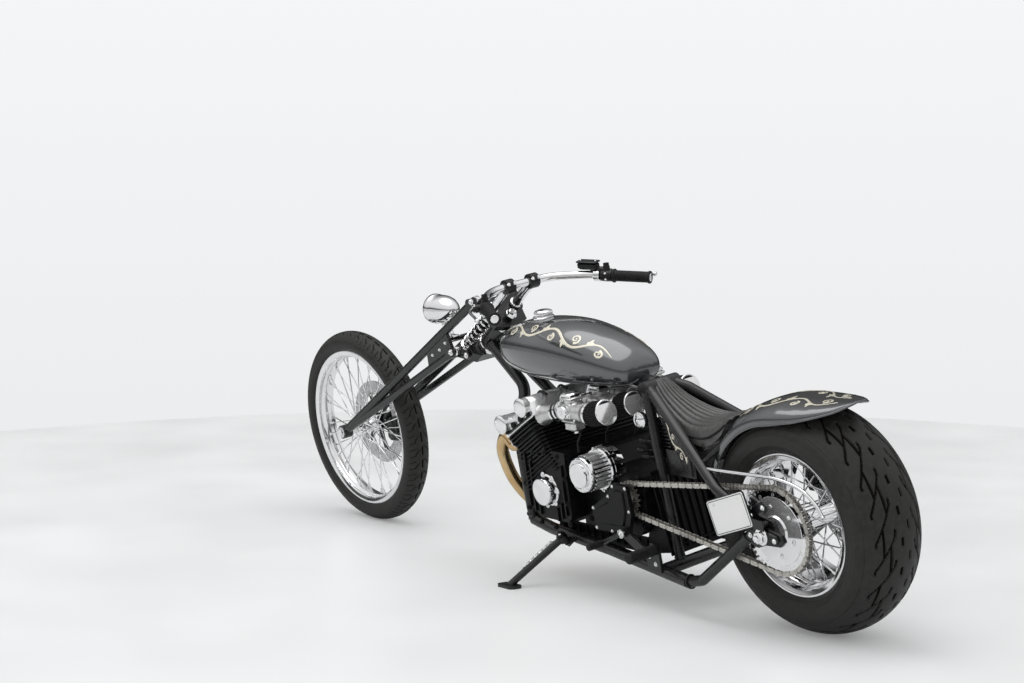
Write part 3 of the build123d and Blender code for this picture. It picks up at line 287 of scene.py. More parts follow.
makeFinish("chainInner", "chain_steel", (0.26, 0.25, 0.23), (0.44, 0.42, 0.38), 0.42, 0.12,
           metal=0.9, grain=160)
makeFinish("discSteel", "disc_steel", (0.44, 0.44, 0.45), (0.62, 0.62, 0.62), 0.26, 0.08,
           metal=1.0, grain=35, bump=0.1, bumpGrain=700)
makeFinish("plateWhite", "plate_white", (0.74, 0.75, 0.74), (0.78, 0.78, 0.77), 0.35, 0.04,
           grain=14, coat=0.3, bump=0.05, bumpGrain=300)
makeFinish("softRubber", "grip_rubber", (0.005, 0.005, 0.005), (0.012, 0.012, 0.012), 0.58, 0.1,
           grain=120, bump=0.2, bumpGrain=1400, level=0.3)
# darker rubber for the groove floors: painted shade in the cut grooves
makeFinish("grooveRubber", "tyre_rubber", (0.002, 0.0018, 0.0015), (0.006, 0.005, 0.004), 0.8, 0.1,
           grain=90, level=0.1)
makeFinish("tyreRubber", "tyre_rubber", (0.014, 0.0138, 0.013), (0.024, 0.0235, 0.022), 0.52, 0.1,
           grain=55, detail=8, bump=0.25, bumpGrain=1600, level=0.3)
makeFinish("darkLeather", "seat_leather", (0.052, 0.051, 0.050), (0.078, 0.077, 0.075), 0.33, 0.08,
           grain=70, bump=0.3, bumpGrain=1100)
glassTree = makeFinish("lampGlass", "lamp_glass", (0.92, 0.95, 0.96), (1, 1, 1), 0.04, 0.02,
                       grain=60, bump=0.1, bumpGrain=120)
setInputs(glassTree, glassTree.nodes["Principled BSDF"], {"Transmission Weight": 0.9, "IOR": 1.45})
print("finishes ready")

# camera, floor and light
view = {"place": (-4.356, 4.298, 1.382), "ahead": (0.7985, -0.5947, -0.0932), "lens": 77.94}
camera = addObject("camera", bpy.data.cameras.new("camera"))
camera.location = Vector((rearHubSpot.x, rearHubSpot.y, 0)) + Vector(view["place"])
camera.rotation_euler = Vector(view["ahead"]).to_track_quat("-Z", "Y").to_euler()
camera.data.lens = view["lens"]
camera.data.sensor_width = 36
bpy.context.scene.camera = camera
bpy.context.scene.view_settings.view_transform = "Standard"

# rimLift and wallShade lead from two distances or heights to two strengths
# hall is what shiny metal sees, by height
studio = {"floorRings": (0.0, 1.0, 2.4, 4.15), "floor": (0.72, 0.73, 0.735), "lift": 0.17,
          "rimLift": (1.8, 4.15, 1.0, 1.45), "wall": (0.925, 0.93, 0.94),
          "wallShade": (-0.14, 0.06, 0.905, 0.985), "ambient": 0.82,
          "hall": ((0.0, 0.50), (0.485, 0.62), (0.497, 0.05), (0.53, 0.10), (0.60, 0.75), (1.0, 1.0)),
          "away": (0.80, -0.60, -0.08), "awayDim": (0.35, 0.9, 1.0, 0.1),
          "lamps": (((0.4, 0.6, 4.2), (0, 0, 0.3), 4.2, 72.0),
                    ((-4.2, 3.4, 2.6), (-0.3, 0, 0.5), 2.4, 24.0),
                    ((2.5, 4.0, 2.2), (0.2, 0, 0.5), 2.0, 15.0),
                    ((-2.6, -3.8, 2.4), (-0.2, 0, 0.5), 2.2, 15.0))}


def makeFloor():
    spec = studio
    part = PartMesh()
    part.sheet([[(r * c, r * s, 0) for c, s in circle(120)] for r in spec["floorRings"]])
    mesh = bpy.data.meshes.new("studioFloor")
    mesh.from_pydata(part.points, [], part.faces)
    cleanMesh(mesh, 1e-5)
    low = [c * 0.97 for c in spec["floor"]]
    tree = makeFinish("paleFloor", "pale_floor", low, spec["floor"], 0.34, 0.06, grain=1.5, level=0.35)
    seen = addNode(tree, "LightPath", {}).outputs["Is Camera Ray"]
    lift = addNode(tree, "Math", {0: seen, 1: spec["lift"]}, operation="MULTIPLY").outputs["Value"]
    place = addNode(tree, "TexCoord", {}).outputs["Object"]
    reach = addNode(tree, "VectorMath", {0: place}, operation="LENGTH").outputs["Value"]
    rim = mapRange(tree, reach, *spec["rimLift"])
    glow = addNode(tree, "Math", {0: lift, 1: rim}, operation="MULTIPLY").outputs["Value"]
    shader = tree.nodes["Principled BSDF"]
    setInputs(tree, shader, {"Emission Color": (1, 1, 1, 1), "Emission Strength": glow})
    mesh.materials.append(finishOf["paleFloor"])
    addObject("studioFloor", mesh)


def makeLight():
    spec = studio
    for i, (place, aim, size, power) in enumerate(spec["lamps"]):
        data = bpy.data.lights.new(f"softLamp{i}", "AREA")
        data.shape, data.size, data.energy = "DISK", size, power
        softLamp = addObject(f"softLamp{i}", data)
        softLamp.location = place
        softLamp.visible_glossy = i == 0
        softLamp.rotation_euler = (Vector(aim) - Vector(place)).to_track_quat("-Z", "Y").to_euler()
    world = bpy.data.worlds.new("studioWorld")
    bpy.context.scene.world = world
    world.use_nodes = True
    tree = world.node_tree
    tree.nodes.clear()
    rays = addNode(tree, "LightPath", {}).outputs
    way = addNode(tree, "TexCoord", {}).outputs["Generated"]
    height = addNode(tree, "SeparateXYZ", {"Vector": way}).outputs["Z"]
    hall = addNode(tree, "ValToRGB", {"Fac": mapRange(tree, height, -1, 1, 0, 1)})
    stops = hall.color_ramp.elements
    while len(stops) < len(spec["hall"]):
        stops.new(0.5)
    for stop, (position, grey) in zip(stops, spec["hall"]):
        stop.position = position
        stop.color = (grey, grey, grey * 1.01, 1)
    lean = addNode(tree, "VectorMath", {0: way, 1: spec["away"]}, operation="DOT_PRODUCT").outputs["Value"]

    def glow(colour, strength):
        return addNode(tree, "Background", {"Color": colour, "Strength": strength}).outputs["Background"]

    # the far end of the hall is dim
    shiny = glow(hall.outputs["Color"], mapRange(tree, lean, *spec["awayDim"]))
    wall = glow((*spec["wall"], 1), mapRange(tree, height, *spec["wallShade"]))
    light = glow((1, 1, 1, 1), spec["ambient"])
    for kind, other in (("Glossy", shiny), ("Camera", wall), ("Transmission", wall)):
        mix = addNode(tree, "MixShader", {"Fac": rays[f"Is {kind} Ray"], 1: light, 2: other})
        light = mix.outputs["Shader"]
    addNode(tree, "OutputWorld", {"Surface": light})


makeFloor()
makeLight()
print("studio ready")

# finishes of the solids that stay in view
nodeFinish = {
    "frameSatin": "frame_neck frame_backbone frame_downtubes frame_rails frame_chain_stays frame_seat_stays "
                  "frame_axle_plates frame_crossmembers girder_legs fork_links fork_yokes side_stand "
                  "foot_controls side_panels",
    "graphiteGloss": "fuel_tank rear_fender",
    "engineBlack": "crankcase cylinder_block cylinder_head side_covers",
    "brightChrome": "cam_cover engine_covers filter_caps filler_cap chain_guard rear_axle front_axle shock "
                    "shock_spring headlamp handlebar risers hand_levers rear_rim front_rim rear_sprocket "
                    "front_hub rear_hub",
    "castAlloy": "carburettors",
    "controlBlack": "rear_caliper front_caliper lever_perches silencer",
    "filterBlack": "air_filters",
    "tintedSteel": "exhaust_headers",
    "chainSteel": "chain front_sprocket",
    "discSteel": "front_disc rear_disc",
    "plateWhite": "number_plate",
    "softRubber": "grips foot_pegs",
    "tyreRubber": "front_tyre rear_tyre",
    "darkLeather": "seat",
    "lampGlass": "headlamp_lens",
}
for key, names in nodeFinish.items():
    for name in names.split():
        frame["nodes"][name].data.materials.clear()
        frame["nodes"][name].data.materials.append(finishOf[key])
print("solids dressed")

# tyres: round crown with cut grooves whose floors get a darker rubber as painted shade, ribbed sidewalls;
# strokes are drawn along and across one pitch
rearTread = {"name": "rear", "hub": rearHub, "crown": 146.0, "shoulder": 104.0, "pitches": 12,
             "around": 720, "across": 92, "groove": 6.2, "depth": 6.0,
             "side": ((108, 284.6), (109.4, 283.2), (108.8, 281.4), (112, 278.6), (115.8, 271),
                      (118.8, 262.4), (120.6, 258.6), (120.9, 257), (120.3, 254), (120.3, 246),
                      (119.4, 238), (118, 231.6), (118.8, 229.6), (117.2, 227.6), (114.2, 220.5),
                      (112, 217), (112.6, 215.2), (110.2, 213.4), (106, 210), (97, 205.5)),
             "strokes": (((-18, 35), (0, 37), (100, 92), (113, 92)),
                         ((69, 35), (87, 37), (187, 92), (200, 92)), ((25, 50), (109, 49)),
                         ((150, 71), (234, 70))),
             "dashes": (((10, 13), (31, 13)), ((97, 13), (118, 13)))}
frontTread = {"name": "front", "hub": frontHub, "crown": 50.0, "shoulder": 42.0, "pitches": 44,
              "around": 616, "across": 50, "groove": 3.6, "depth": 4.0,
              "side": ((44.6, 316), (46, 306), (45, 295), (41, 286.5), (34.5, 281.5)),
              "strokes": (((0, 7), (10, 20), (24, 26), (30, 45)), ((-4, 22), (4, 46))),
              "dashes": (((2, 0), (22, 0)),)}


def strokeDistance(u, s, a, b):
    (ax, ay), (bx, by) = a, b
    du, ds = bx - ax, by - ay
    t = np.clip(((u - ax) * du + (s - ay) * ds) / (du * du + ds * ds), 0, 1)
    return np.hypot(u - ax - t * du, s - ay - t * ds)


def makeTyre(spec):
    x, r0 = spec["hub"]
    c, n = spec["crown"], spec["around"]
    reach = asin(spec["shoulder"] / c)
    angles = np.linspace(-reach, reach, spec["across"])
    turn = np.arange(n) * 2 * pi / n
    pitch = 2 * pi * r0 / spec["pitches"]
    far = np.full((n, len(angles)), 1e3)
    cuts = [(a, b, 0) for stroke in spec["strokes"] for a, b in zip(stroke, stroke[1:])]
    cuts += [(a, b, 0.6) for a, b in spec["dashes"]]
    for half, stagger in ((1, 0), (-1, pitch / 4)):
        u = ((turn * r0)[:, None] % pitch + stagger) % pitch
        s = (c * angles)[None, :] * half
        for a, b, wider in cuts:
            for shift in (-2, -1, 0, 1):
                far = np.minimum(far, strokeDistance(u + shift * pitch, s, a, b) - wider)
    cut = np.clip((spec["groove"] / 2 + 0.9 - far) / 1.8, 0, 1)
    cut = spec["depth"] * cut * cut * (3 - 2 * cut)
    wallY, wallR = np.array(spec["side"]).T
    wallY, wallR = np.tile(wallY, (n, 1)), np.tile(wallR, (n, 1))
    ys = np.hstack([-wallY[:, ::-1], np.sin(angles) * (c - cut), wallY])
    rs = np.hstack([wallR[:, ::-1], r0 - c + np.cos(angles) * (c - cut), wallR])
    pts = np.stack([x + rs * np.cos(turn)[:, None], ys, r0 + rs * np.sin(turn)[:, None]], 2)
    part = PartMesh()
    part.sheet(pts.tolist(), aroundRows=True, aroundCols=False)
    # faces deep in the grooves take the darker rubber, painted shade in the recesses
    deep = np.pad(cut, ((0, 0), (len(spec["side"]), len(spec["side"]))))
    deep = deep[:, :-1] + deep[:, 1:] > spec["depth"]
    part.finish = (deep & np.roll(deep, -1, 0)).astype(int).ravel().tolist()
    name = spec["name"]
    finishes = "tyreRubber grooveRubber"
    makePiece(part, name + "Tyre", finishes, name + "_tyre", name + "_wheel", 50, merge=False)


makeTyre(rearTread)
makeTyre(frontTread)
print("tyres cut")

# rims, hubs and laced spokes
rearWheel = {"name": "rear", "place": rearHub, "spokeEnd": 173.0, "spread": 34.0, "hub": 34.0, "half": 86.0,
             "flange": 52.0, "spoke": 2.3, "wall": 4.0,
             "rim": ((98.5, 206), (100.5, 204.5), (101, 201.5), (99, 197), (96.5, 191), (95, 187.2),
                     (88, 186.2), (70, 185.6), (63, 182.5), (58, 176), (54, 173.4), (40, 172.8),
                     (0, 172.5))}
frontWheel = {"name": "front", "place": frontHub, "spokeEnd": 252.5, "spread": 6.0, "hub": 21.0,
              "half": 44.0, "flange": 36.0, "spoke": 2.1, "wall": 3.4,
              "rim": ((34.5, 282), (36, 280.5), (36.3, 278), (35, 274), (33.2, 268), (31.5, 263.6),
                      (27, 262.4), (21, 261.6), (17.5, 258.5), (14, 253.8), (8, 252.6), (0, 252.2))}
lacing = {"perSide": 20, "lean": 38.0, "off": 5.4,
          "nipple": ((0, 1.15), (1.5, 1.75), (13, 1.75), (14, 2.5), (19, 2.5))}


def makeWheel(spec):
    x, z = spec["place"]
    name, body = spec["name"], spec["name"] + "_wheel"
    part = PartMesh()
    inner = list(spec["rim"]) + [(-y, r) for y, r in reversed(spec["rim"][:-1])]
    outer = [(y * 0.955, r + spec["wall"]) for y, r in inner[2:-2]]
    part.turned((x, 0, z), leftSide, inner + outer[::-1], 168, closed=True)
    makePiece(part, name + "Rim", "brightChrome", name + "_rim", body, 50)
    laced = PartMesh()
    half, hub, flange, r = spec["half"], spec["hub"], spec["flange"], spec["spoke"]
    side = half - 12
    prof = [(-half, 12), (-half, hub * 0.72), (-half + 4, hub * 0.8), (-side - 5, hub + 6),
            (-side - 4, flange - 2), (-side - 3, flange), (-side + 3, flange), (-side + 4, flange - 2),
            (-side + 7, hub + 4), (-side + 16, hub * 0.82), (-half * 0.3, hub * 0.76)]
    laced.turned((x, 0, z), leftSide, prof + [(-a, b) for a, b in reversed(prof)], 64)
    for sign, shift in ((1, 0.25), (-1, 0.75)):
        for i in range(lacing["perSide"]):
            lean = 1 if i % 2 else -1
            angle = 2 * pi * (i + shift) / lacing["perSide"]
            hubAngle = angle + radians(lacing["lean"]) * lean
            off = leftSide * lacing["off"] * lean
            hole = Vector((x, sign * side, z)) + ray(hubAngle) * (flange - 6)
            end = Vector((x, sign * spec["spread"], z)) + ray(angle) * spec["spokeEnd"] + off * 0.4
            out = (end - hole - off).normalized()
            laced.tube([hole - off * 0.9, hole + off * 0.6, hole + off + out * 3, end - out * 4], r, 8)
            laced.turned(hole - off * 0.86, -off, [(-1, r * 2), (0.8, r * 2), (2, r * 1.1)], 10)
            laced.turned(end - out * 17, out, [(a, r * b) for a, b in lacing["nipple"]], 8)
    makePiece(laced, name + "HubSpokes", "brightChrome", name + "_hub", body)


makeWheel(rearWheel)
makeWheel(frontWheel)
print("wheels laced")

# drive chain: inner and outer links with pins and rollers
drive = {"y": 152.0, "rear": (*rearHub, 121.4), "front": (632.0, 341.0, 43.2), "pitch": 15.875,
         "height": 14.4}


def chainSpots():
    (ax, az, ar), (bx, bz, br) = drive["rear"], drive["front"]
    slope = atan2(bz - az, bx - ax)
    wrap = asin((ar - br) / hypot(bx - ax, bz - az))
    top, low = slope + pi / 2 - wrap, slope - pi / 2 + wrap
    line = []
    for k in range(40):
        a = top + (low - top) * k / 40
        line.append((bx + br * cos(a), bz + br * sin(a)))
    for k in range(121):
        a = low - (2 * pi - (top - low)) * k / 120
        line.append((ax + ar * cos(a), az + ar * sin(a)))
    line = np.array(line + line[:1])
    run = np.concatenate([[0], np.cumsum(np.hypot(*np.diff(line, axis=0).T))])
    count = 2 * round(run[-1] / drive["pitch"] / 2)
    at = np.arange(count) * run[-1] / count
    return [Vector((np.interp(s, run, line[:, 0]), np.interp(s, run, line[:, 1]))) for s in at]


def makeChain():
    part = PartMesh()
    spots = chainSpots()
    y0 = drive["y"]
    for i, a in enumerate(spots):
        b = spots[(i + 1) % len(spots)]
        way = (b - a).normalized()
        up = Vector((-way.y, way.x))
        near, r = (6.3, drive["height"] / 2) if i % 2 else (3.9, drive["height"] * 0.47)
        outline = []
        for middle, start in ((a, 65), (b, 245)):
            for k in range(9):
                t = radians(start + 230 * k / 8)
                outline.append(middle + (way * cos(t) + up * sin(t)) * r)
        for side in (1, -1):
            part.plate(outline, y0 + side * near, y0 + side * (near + 2.0), 0.4, i % 2)
        part.turned((a.x, y0 - 9.4, a.y), leftSide, [(0, 1.6), (0.6, 2.7), (18.2, 2.7), (18.8, 1.6)], 10, 1)
        part.turned((a.x, y0 - 3.8, a.y), leftSide, [(0, 4.9), (7.6, 4.9)], 12)
    makePiece(part, "driveChain", "chainInner chainSteel", "chain", sharp=30)


makeChain()
print("chain linked")

# seat: sewn lengthwise channels in a dipped saddle
seatPad = {"top": ((598, 674), (556, 634), (510, 606), (455, 582), (400, 570), (350, 571), (300, 579),
                   (250, 595), (207, 616)),
           "under": ((588, 642), (545, 604), (505, 573), (450, 550), (400, 533), (345, 527), (301, 525),
                     (262, 566), (210, 611)),
           "half": ((200, 127), (250, 126), (330, 119), (445, 86), (560, 50), (600, 34)),
           "channels": 8, "puff": 0.72, "crown": 15.0, "piping": 3.4}


def makeSeat():
    spec = seatPad
    top, under = [smoothLine([(x, 0, z) for x, z in spec[key]], 9) for key in ("top", "under")]
    count = spec["channels"]
    rows, piping = [], ([], [])
    for i, (p, q) in enumerate(zip(top, under)):
        along = (top[min(i + 1, len(top) - 1)] - top[max(i - 1, 0)]).normalized()
        lift = along.cross(leftSide).normalized()
        lift = lift if lift.z > 0 else -lift
        half = float(np.interp(p.x, *zip(*spec["half"])))
        thick = (p - q).length
        u = i / (len(top) - 1)
        fade = min(1.0, 0.3 + u * 9) * min(1.0, 0.25 + (1 - u) * 9)
        puff = spec["puff"] * 2 * half / count * fade
        ring = []
        for v in np.linspace(-1, 1, count * 12 + 1):
            edge = max(0.0, (abs(v) - 0.9) / 0.1)
            t = (v / 0.94 + 1) / 2 * count % 1
            swell = puff * sqrt(max(0, 1 - (2 * t - 1) ** 2)) ** 0.8 if abs(v) < 0.94 else 0
            drop = spec["crown"] * abs(v) ** 2.2 + 0.5 * thick * (1 - sqrt(max(0, 1 - edge * edge)))
            ring.append(p + lift * (swell - drop - puff * 0.4) + leftSide * half * v)
        for line, v in zip(piping, (-0.985, 0.985)):
            line.append(p + leftSide * half * v - lift * (spec["crown"] + 0.22 * thick))
        rows.append(ring + [q + leftSide * half * 0.95 * v for v in np.linspace(1, -1, 13)])
    part = PartMesh()
    part.sheet(rows, caps=True)
    for line in piping:
        part.tube(line, spec["piping"], 8, 1)
    piece = makePiece(part, "seatPad", "darkLeather softRubber", "seat", sharp=70)


makeSeat()
print("seat sewn")

# fuel tank: stations of x, low z, low half, widest z, half, top z
tank = {"stations": ((1310, 704, 14, 722, 26, 738), (1301, 697, 32, 724, 54, 756),
                     (1262, 671, 48, 732, 95, 794), (1130, 652, 60, 736, 123, 822),
                     (960, 645, 60, 726, 127, 824), (810, 650, 56, 708, 113, 794),
                     (722, 653, 46, 694, 92, 760), (686, 659, 34, 688, 68, 734),
                     (673, 670, 14, 689, 30, 712)),
        "sides": 88, "seamLift": 1.5}
tankArt = {"from": 1250, "angle": 50, "length": 520, "bays": 5, "height": 72, "width": 7.0}
tankTable = np.array([list(v) for v in smoothLine(tank["stations"], 9)])


def tankAt(x, angle):
    station = [float(np.interp(-x, -tankTable[:, 0], column)) for column in tankTable.T[1:]]
    lowZ, lowHalf, wideZ, half, topZ = station
    c, s = cos(angle), sin(angle)
    if s >= 0:
        return Vector((x, copysign(half * abs(c) ** 0.94, c), wideZ + (topZ - wideZ) * s ** 0.96))
    return Vector((x, copysign(lowHalf + (half - lowHalf) * abs(c) ** 0.8, c), wideZ + (wideZ - lowZ) * s))


# closed ribbons laid on a surface given as a function of two lengths
def layRibbons(part, surface, strokes, lift=0.9):
    for stroke in strokes:
        line = [surface(s, t) for s, t, w in stroke]
        rows = []
        for i, (p, (s, t, w)) in enumerate(zip(line, stroke)):
            along, over = surface(s + 1, t) - surface(s - 1, t), surface(s, t + 1) - surface(s, t - 1)
            out = along.cross(over).normalized()
            way = (line[min(i + 1, len(line) - 1)] - line[max(i - 1, 0)]).normalized()
            across = out.cross(way).normalized() * w / 2
            rows.append([p - across + out * 0.15, p + out * lift, p + across + out * 0.15, p - out * 0.8])
        part.sheet(rows, caps=True)


# plain ornament: a waving stem, a curl in each bay and small leaves
def scrollStrokes(length, spec, flip=1):
    bays, height, width = spec["bays"], spec["height"], spec["width"]
    stem = []
    for k in range(bays * 14 + 1):
        u = k / (bays * 14)
        wave = flip * height * 0.32 * sin(u * bays * pi)
        stem.append((u * length, wave, width * (0.25 + sin(u * pi) ** 0.6)))
    strokes = [stem]
    bay = length / bays
    for b in range(bays):
        sign = flip * (1 if b % 2 else -1)
        size = height * (0.46 - 0.05 * (b % 3))
        curl = []
        for k in range(25):
            a = k / 24
            turn = -pi / 2 + a * 2.9 * pi
            r = size * (1 - a) ** 0.8 * 0.5 + size * 0.06
            curl.append((bay * (b + 0.55) + r * cos(turn), sign * (height * 0.16 + r * sin(turn)),
                         width * (1.15 - 0.75 * a) if k < 24 else width * 0.8))
        strokes.append(curl)
        for reach, lean in ((0.30, 0.9), (0.42, 1.5), (0.22, 2.3)):
            leaf = []
            for k in range(7):
                far = k / 6 * reach * height
                leaf.append((bay * (b + 0.12) + far * cos(lean), -sign * (height * 0.1 + far * sin(lean)),
                             width * 1.7 * sin(pi * (0.12 + 0.86 * k / 6)) + 0.3))
            strokes.append(leaf)
    return strokes


def makeTank():
    part = PartMesh()
    around = [2 * pi * (k + 0.5) / tank["sides"] for k in range(tank["sides"])]
    part.sheet([[tankAt(x, a) for a in around] for x in tankTable[:, 0]], caps=True)
    for lean in (0.30, -0.30):
        seam = [tankAt(x, -pi / 2 + lean) - upward * tank["seamLift"] for x in tankTable[2:-2, 0]]
        part.tube(seam, 2.2, 8)
    makePiece(part, "fuelTank", "graphiteGloss", "fuel_tank", sharp=60)
    art = PartMesh()
    for side in (1, -1):
        def onTank(s, t):
            p = tankAt(tankArt["from"] - s, radians(tankArt["angle"]) - 0.00035 * s + t / 118)
            return Vector((p.x, side * p.y, p.z))
        layRibbons(art, onTank, scrollStrokes(tankArt["length"], tankArt))
    makePiece(art, "tankScrolls", "creamScroll", sharp=60)


makeTank()
print("tank shaped")

# filler cap with a knurled skirt
filler = {"place": (1140, 0, 819), "radius": 30, "ridges": 48}


def makeFiller():
    part = PartMesh()
    place, r = Vector(filler["place"]), filler["radius"]
    part.turned(place, upward, [(-3, r + 5), (3, r + 5), (5, r + 3), (6, r - 2), (10, r - 4)], 64)
    rows = []
    for h, out in ((7, 0.96), (9, 1), (19, 1), (21, 0.95)):
        grips = [r * out * (1.0 if k % 2 else 0.965) for k in range(2 * filler["ridges"])]
        rows.append([place + Vector((g * c, g * s, h)) for g, (c, s) in zip(grips, circle(len(grips)))])
    part.sheet(rows, caps=True)
    part.turned(place, upward, [(20, r * 0.93), (23, r * 0.84), (25.5, r * 0.55), (26.5, r * 0.12)], 48)
    makePiece(part, "fillerCap", "brightChrome", "filler_cap")


makeFiller()

# rear fender: domed sheet over the tyre with a straight tail; half and drop are given along it
fender = {"radius": 347.0, "thick": 3.0, "start": 24.0, "tail": 202.0, "bead": 3.6,
          "half": ((0, 118), (60, 128), (330, 130), (400, 129), (455, 122), (505, 109), (545, 90),
                   (578, 66), (602, 8)),
          "drop": ((0, 50), (50, 57), (380, 57), (470, 43), (540, 27), (578, 17), (602, 2))}
fenderArc = radians(90 - fender["start"]) * fender["radius"]
fenderArt = {"from": 205, "across": 0.40, "length": 350, "bays": 4, "height": 62, "width": 6.6}


def fenderAt(s, q, inset=0.0):
    half, depth = [float(np.interp(s, *zip(*fender[key]))) for key in ("half", "drop")]
    phi = min(abs(q), 1.0) * pi / 2
    y = copysign((half - inset) * sin(phi) ** 0.92, q)
    r = fender["radius"] - depth * (1 - max(cos(phi), 0.0) ** 0.72) - inset * cos(phi)
    if s > fenderArc:
        return Vector((fenderArc - s, y, bike["rearRadius"] + r))
    a = radians(fender["start"]) + s / fender["radius"]
    return Vector((r * cos(a), y, bike["rearRadius"] + r * sin(a)))


def makeFender():
    tail = np.linspace(fenderArc, fenderArc + fender["tail"], 22)[1:]
    stations = np.concatenate([np.linspace(0, fenderArc, 46), tail])
    qs = np.linspace(-1, 1, 49)
    m = len(qs)
    part = PartMesh()
    rows = []
    for s in stations:
        rows.append([fenderAt(s, q) for q in qs] + [fenderAt(s, q, fender["thick"]) for q in qs[::-1]])
    part.sheet(rows)
    for row in (rows[0], rows[-1]):
        part.add(row, [(j, j + 1, 2 * m - 2 - j, 2 * m - 1 - j) for j in range(m - 1)])
    edge = [(s, -1) for s in stations] + [(stations[-1], q) for q in qs[1:-1]]
    edge += [(s, 1) for s in stations[::-1]] + [(stations[0], q) for q in qs[::-1][1:-1]]
    part.tube([fenderAt(s, q, 1) for s, q in edge], fender["bead"], 8, closed=True)
    makePiece(part, "rearFender", "graphiteGloss", "rear_fender", sharp=60)
    art = PartMesh()
    for side in (1, -1):
        def onFender(s, t):
            return fenderAt(fenderArt["from"] + s, side * (fenderArt["across"] - t / 150 - 0.0006 * s))
        layRibbons(art, onFender, scrollStrokes(fenderArt["length"], fenderArt, side), 0.9 * side)
    makePiece(art, "fenderScrolls", "creamScroll", sharp=60)


makeFender()
print("fender rolled")

# ornament on the panels under the seat, found on the panel's outer face
panelArt = {"from": (372, 470), "to": (532, 584), "bays": 3, "height": 42, "width": 5.4}


def makePanelArt():
    node = frame["nodes"]["side_panels"].data
    toBike = toRow.inverted()
    corners = [toBike @ v.co for v in node.vertices]
    tree = BVHTree.FromPolygons(corners, [tuple(p.vertices) for p in node.polygons])
    a, b = Vector(panelArt["from"]), Vector(panelArt["to"])
    run = (b - a).normalized()
    up = Vector((-run.y, run.x))
    near = ((0, 0), (1, 0), (-1, 0), (0, 1), (0, -1))
    art = PartMesh()
    for side in (1, -1):
        def onPanel(s, t):
            spot = a + run * s + up * t
            return tree.ray_cast(Vector((spot.x, side * 400, spot.y)), -leftSide * side)[0]

        def lands(line):
            return all(onPanel(s + i, t + j) for s, t, w in line for i, j in near)

        strokes = [line for line in scrollStrokes((b - a).length, panelArt) if lands(line)]
        layRibbons(art, onPanel, strokes, -0.9 * side)
    makePiece(art, "panelScrolls", "creamScroll", sharp=60)


makePanelArt()

# engine: the leaning bank of four cylinders, drawn along the bore and across it
engine = {"crank": (955.0, 336.0), "half": 204.0, "ports": (165.0, 55.0, -55.0, -165.0)}
bankUp, bankFore = Vector((0.5, 0, 0.866)), Vector((0.866, 0, -0.5))


def bank(up, fore, y):
    return Vector((engine["crank"][0], y, engine["crank"][1])) + bankUp * up + bankFore * fore


# chrome cam cover: two cam tunnels, end caps and dome nuts; outline of its front half as fore and up
camCover = {"outline": ((36, 264), (48, 272), (60, 282), (72, 284), (84, 278), (92, 266), (95, 250),
                        (93, 216), (84, 214)), "edge": 7, "cap": 27, "tunnel": 69,
            "sideNuts": (-165, -110, -20, 20, 110, 165), "topNuts": (-150, -75, 0, 75, 150),
            "leads": (150, 70, -70, -150),
            "lead": ((268, 0, -40), (282, -2, -40), (286, -24, -34), (288, -70, -24), (262, -112, -10)),
            "hose": ((280, -14, 158), (281, -20, 120), (280, -22, 60), (280, -18, 0), (280, -22, -60),
                     (281, -20, -120), (280, -14, -158))}


def makeCamCover():
    spec = camCover
    half, edge, r = engine["half"] - 2, spec["edge"], spec["cap"]
    outline = [(-f, u) for f, u in reversed(spec["outline"])] + list(spec["outline"])
    stations = [(46, 0), (50, 2.5), (56, 2.5), (60, 0), (half - edge, 0), (half - 3, 2), (half, edge)]
    stations = [(-y, inset) for y, inset in reversed(stations)] + stations
    part = PartMesh()
    part.sheet([[bank(u - inset * (u > 245), f * (1 - inset / 140), y) for f, u in outline]
                for y, inset in stations], caps=True)
    for sign in (-1, 1):
        fore = spec["tunnel"] * sign
        for side in (1, -1):
            part.turned(bank(256, fore * 0.96, side * 190), leftSide * side,
                        [(0, r), (26, r), (27, r + 3), (31, r + 3), (33, r + 1), (36, r * 0.8),
                         (37.5, r * 0.35)], 40)
            for c, s in circle(3, 0.5):
                part.bolt(bank(256 + 18 * c, fore * 0.96 + 18 * s, side * 225.5), leftSide * side, 5)
        for y in spec["sideNuts"]:
            part.bolt(bank(228, fore * 1.36, y), bankFore * sign, 9, dome=True)
    for y in spec["topNuts"]:
        part.bolt(bank(263.5, 0, y), bankUp, 10, dome=True)
        part.turned(bank(263, 0, y + 32), bankUp, [(0, 14), (4, 14), (6, 12), (14, 11), (15, 5)], 24)
    makePiece(part, "camCover", "polishedAlloy", "cam_cover")
    # oil unions and plug leads on top of the head
    lines = PartMesh()
    for y in spec["leads"]:
        foot = bank(270, -14 if abs(y) > 100 else 14, y + 22)
        lines.turned(foot, bankUp, [(0, 8), (10, 8), (12, 6.5), (22, 6.5), (24, 4)], 20)
        lines.turned(foot + bankUp * 16 - leftSide * 11, leftSide, [(0, 6), (3, 8), (19, 8), (22, 6)], 16)
        lines.tube(smoothLine([bank(u, f, y + d) for u, f, d in spec["lead"]], 7), 4.2, 10, 1)
        lines.turned(bank(256, 0, y - 40), bankUp, [(0, 12), (10, 12), (14, 9), (26, 8), (28, 5)], 20, 1)
    lines.tube(smoothLine([bank(*p) for p in spec["hose"]], 7), 5.0, 12, 1)
    makePiece(lines, "oilUnions", "brightChrome softRubber")


makeCamCover()

# crank end covers and the ribbed alternator
covers = {"crankRadius": 50, "crankY": 199, "nuts": 7, "altPlace": (758, 0, 412), "altRibs": 26}


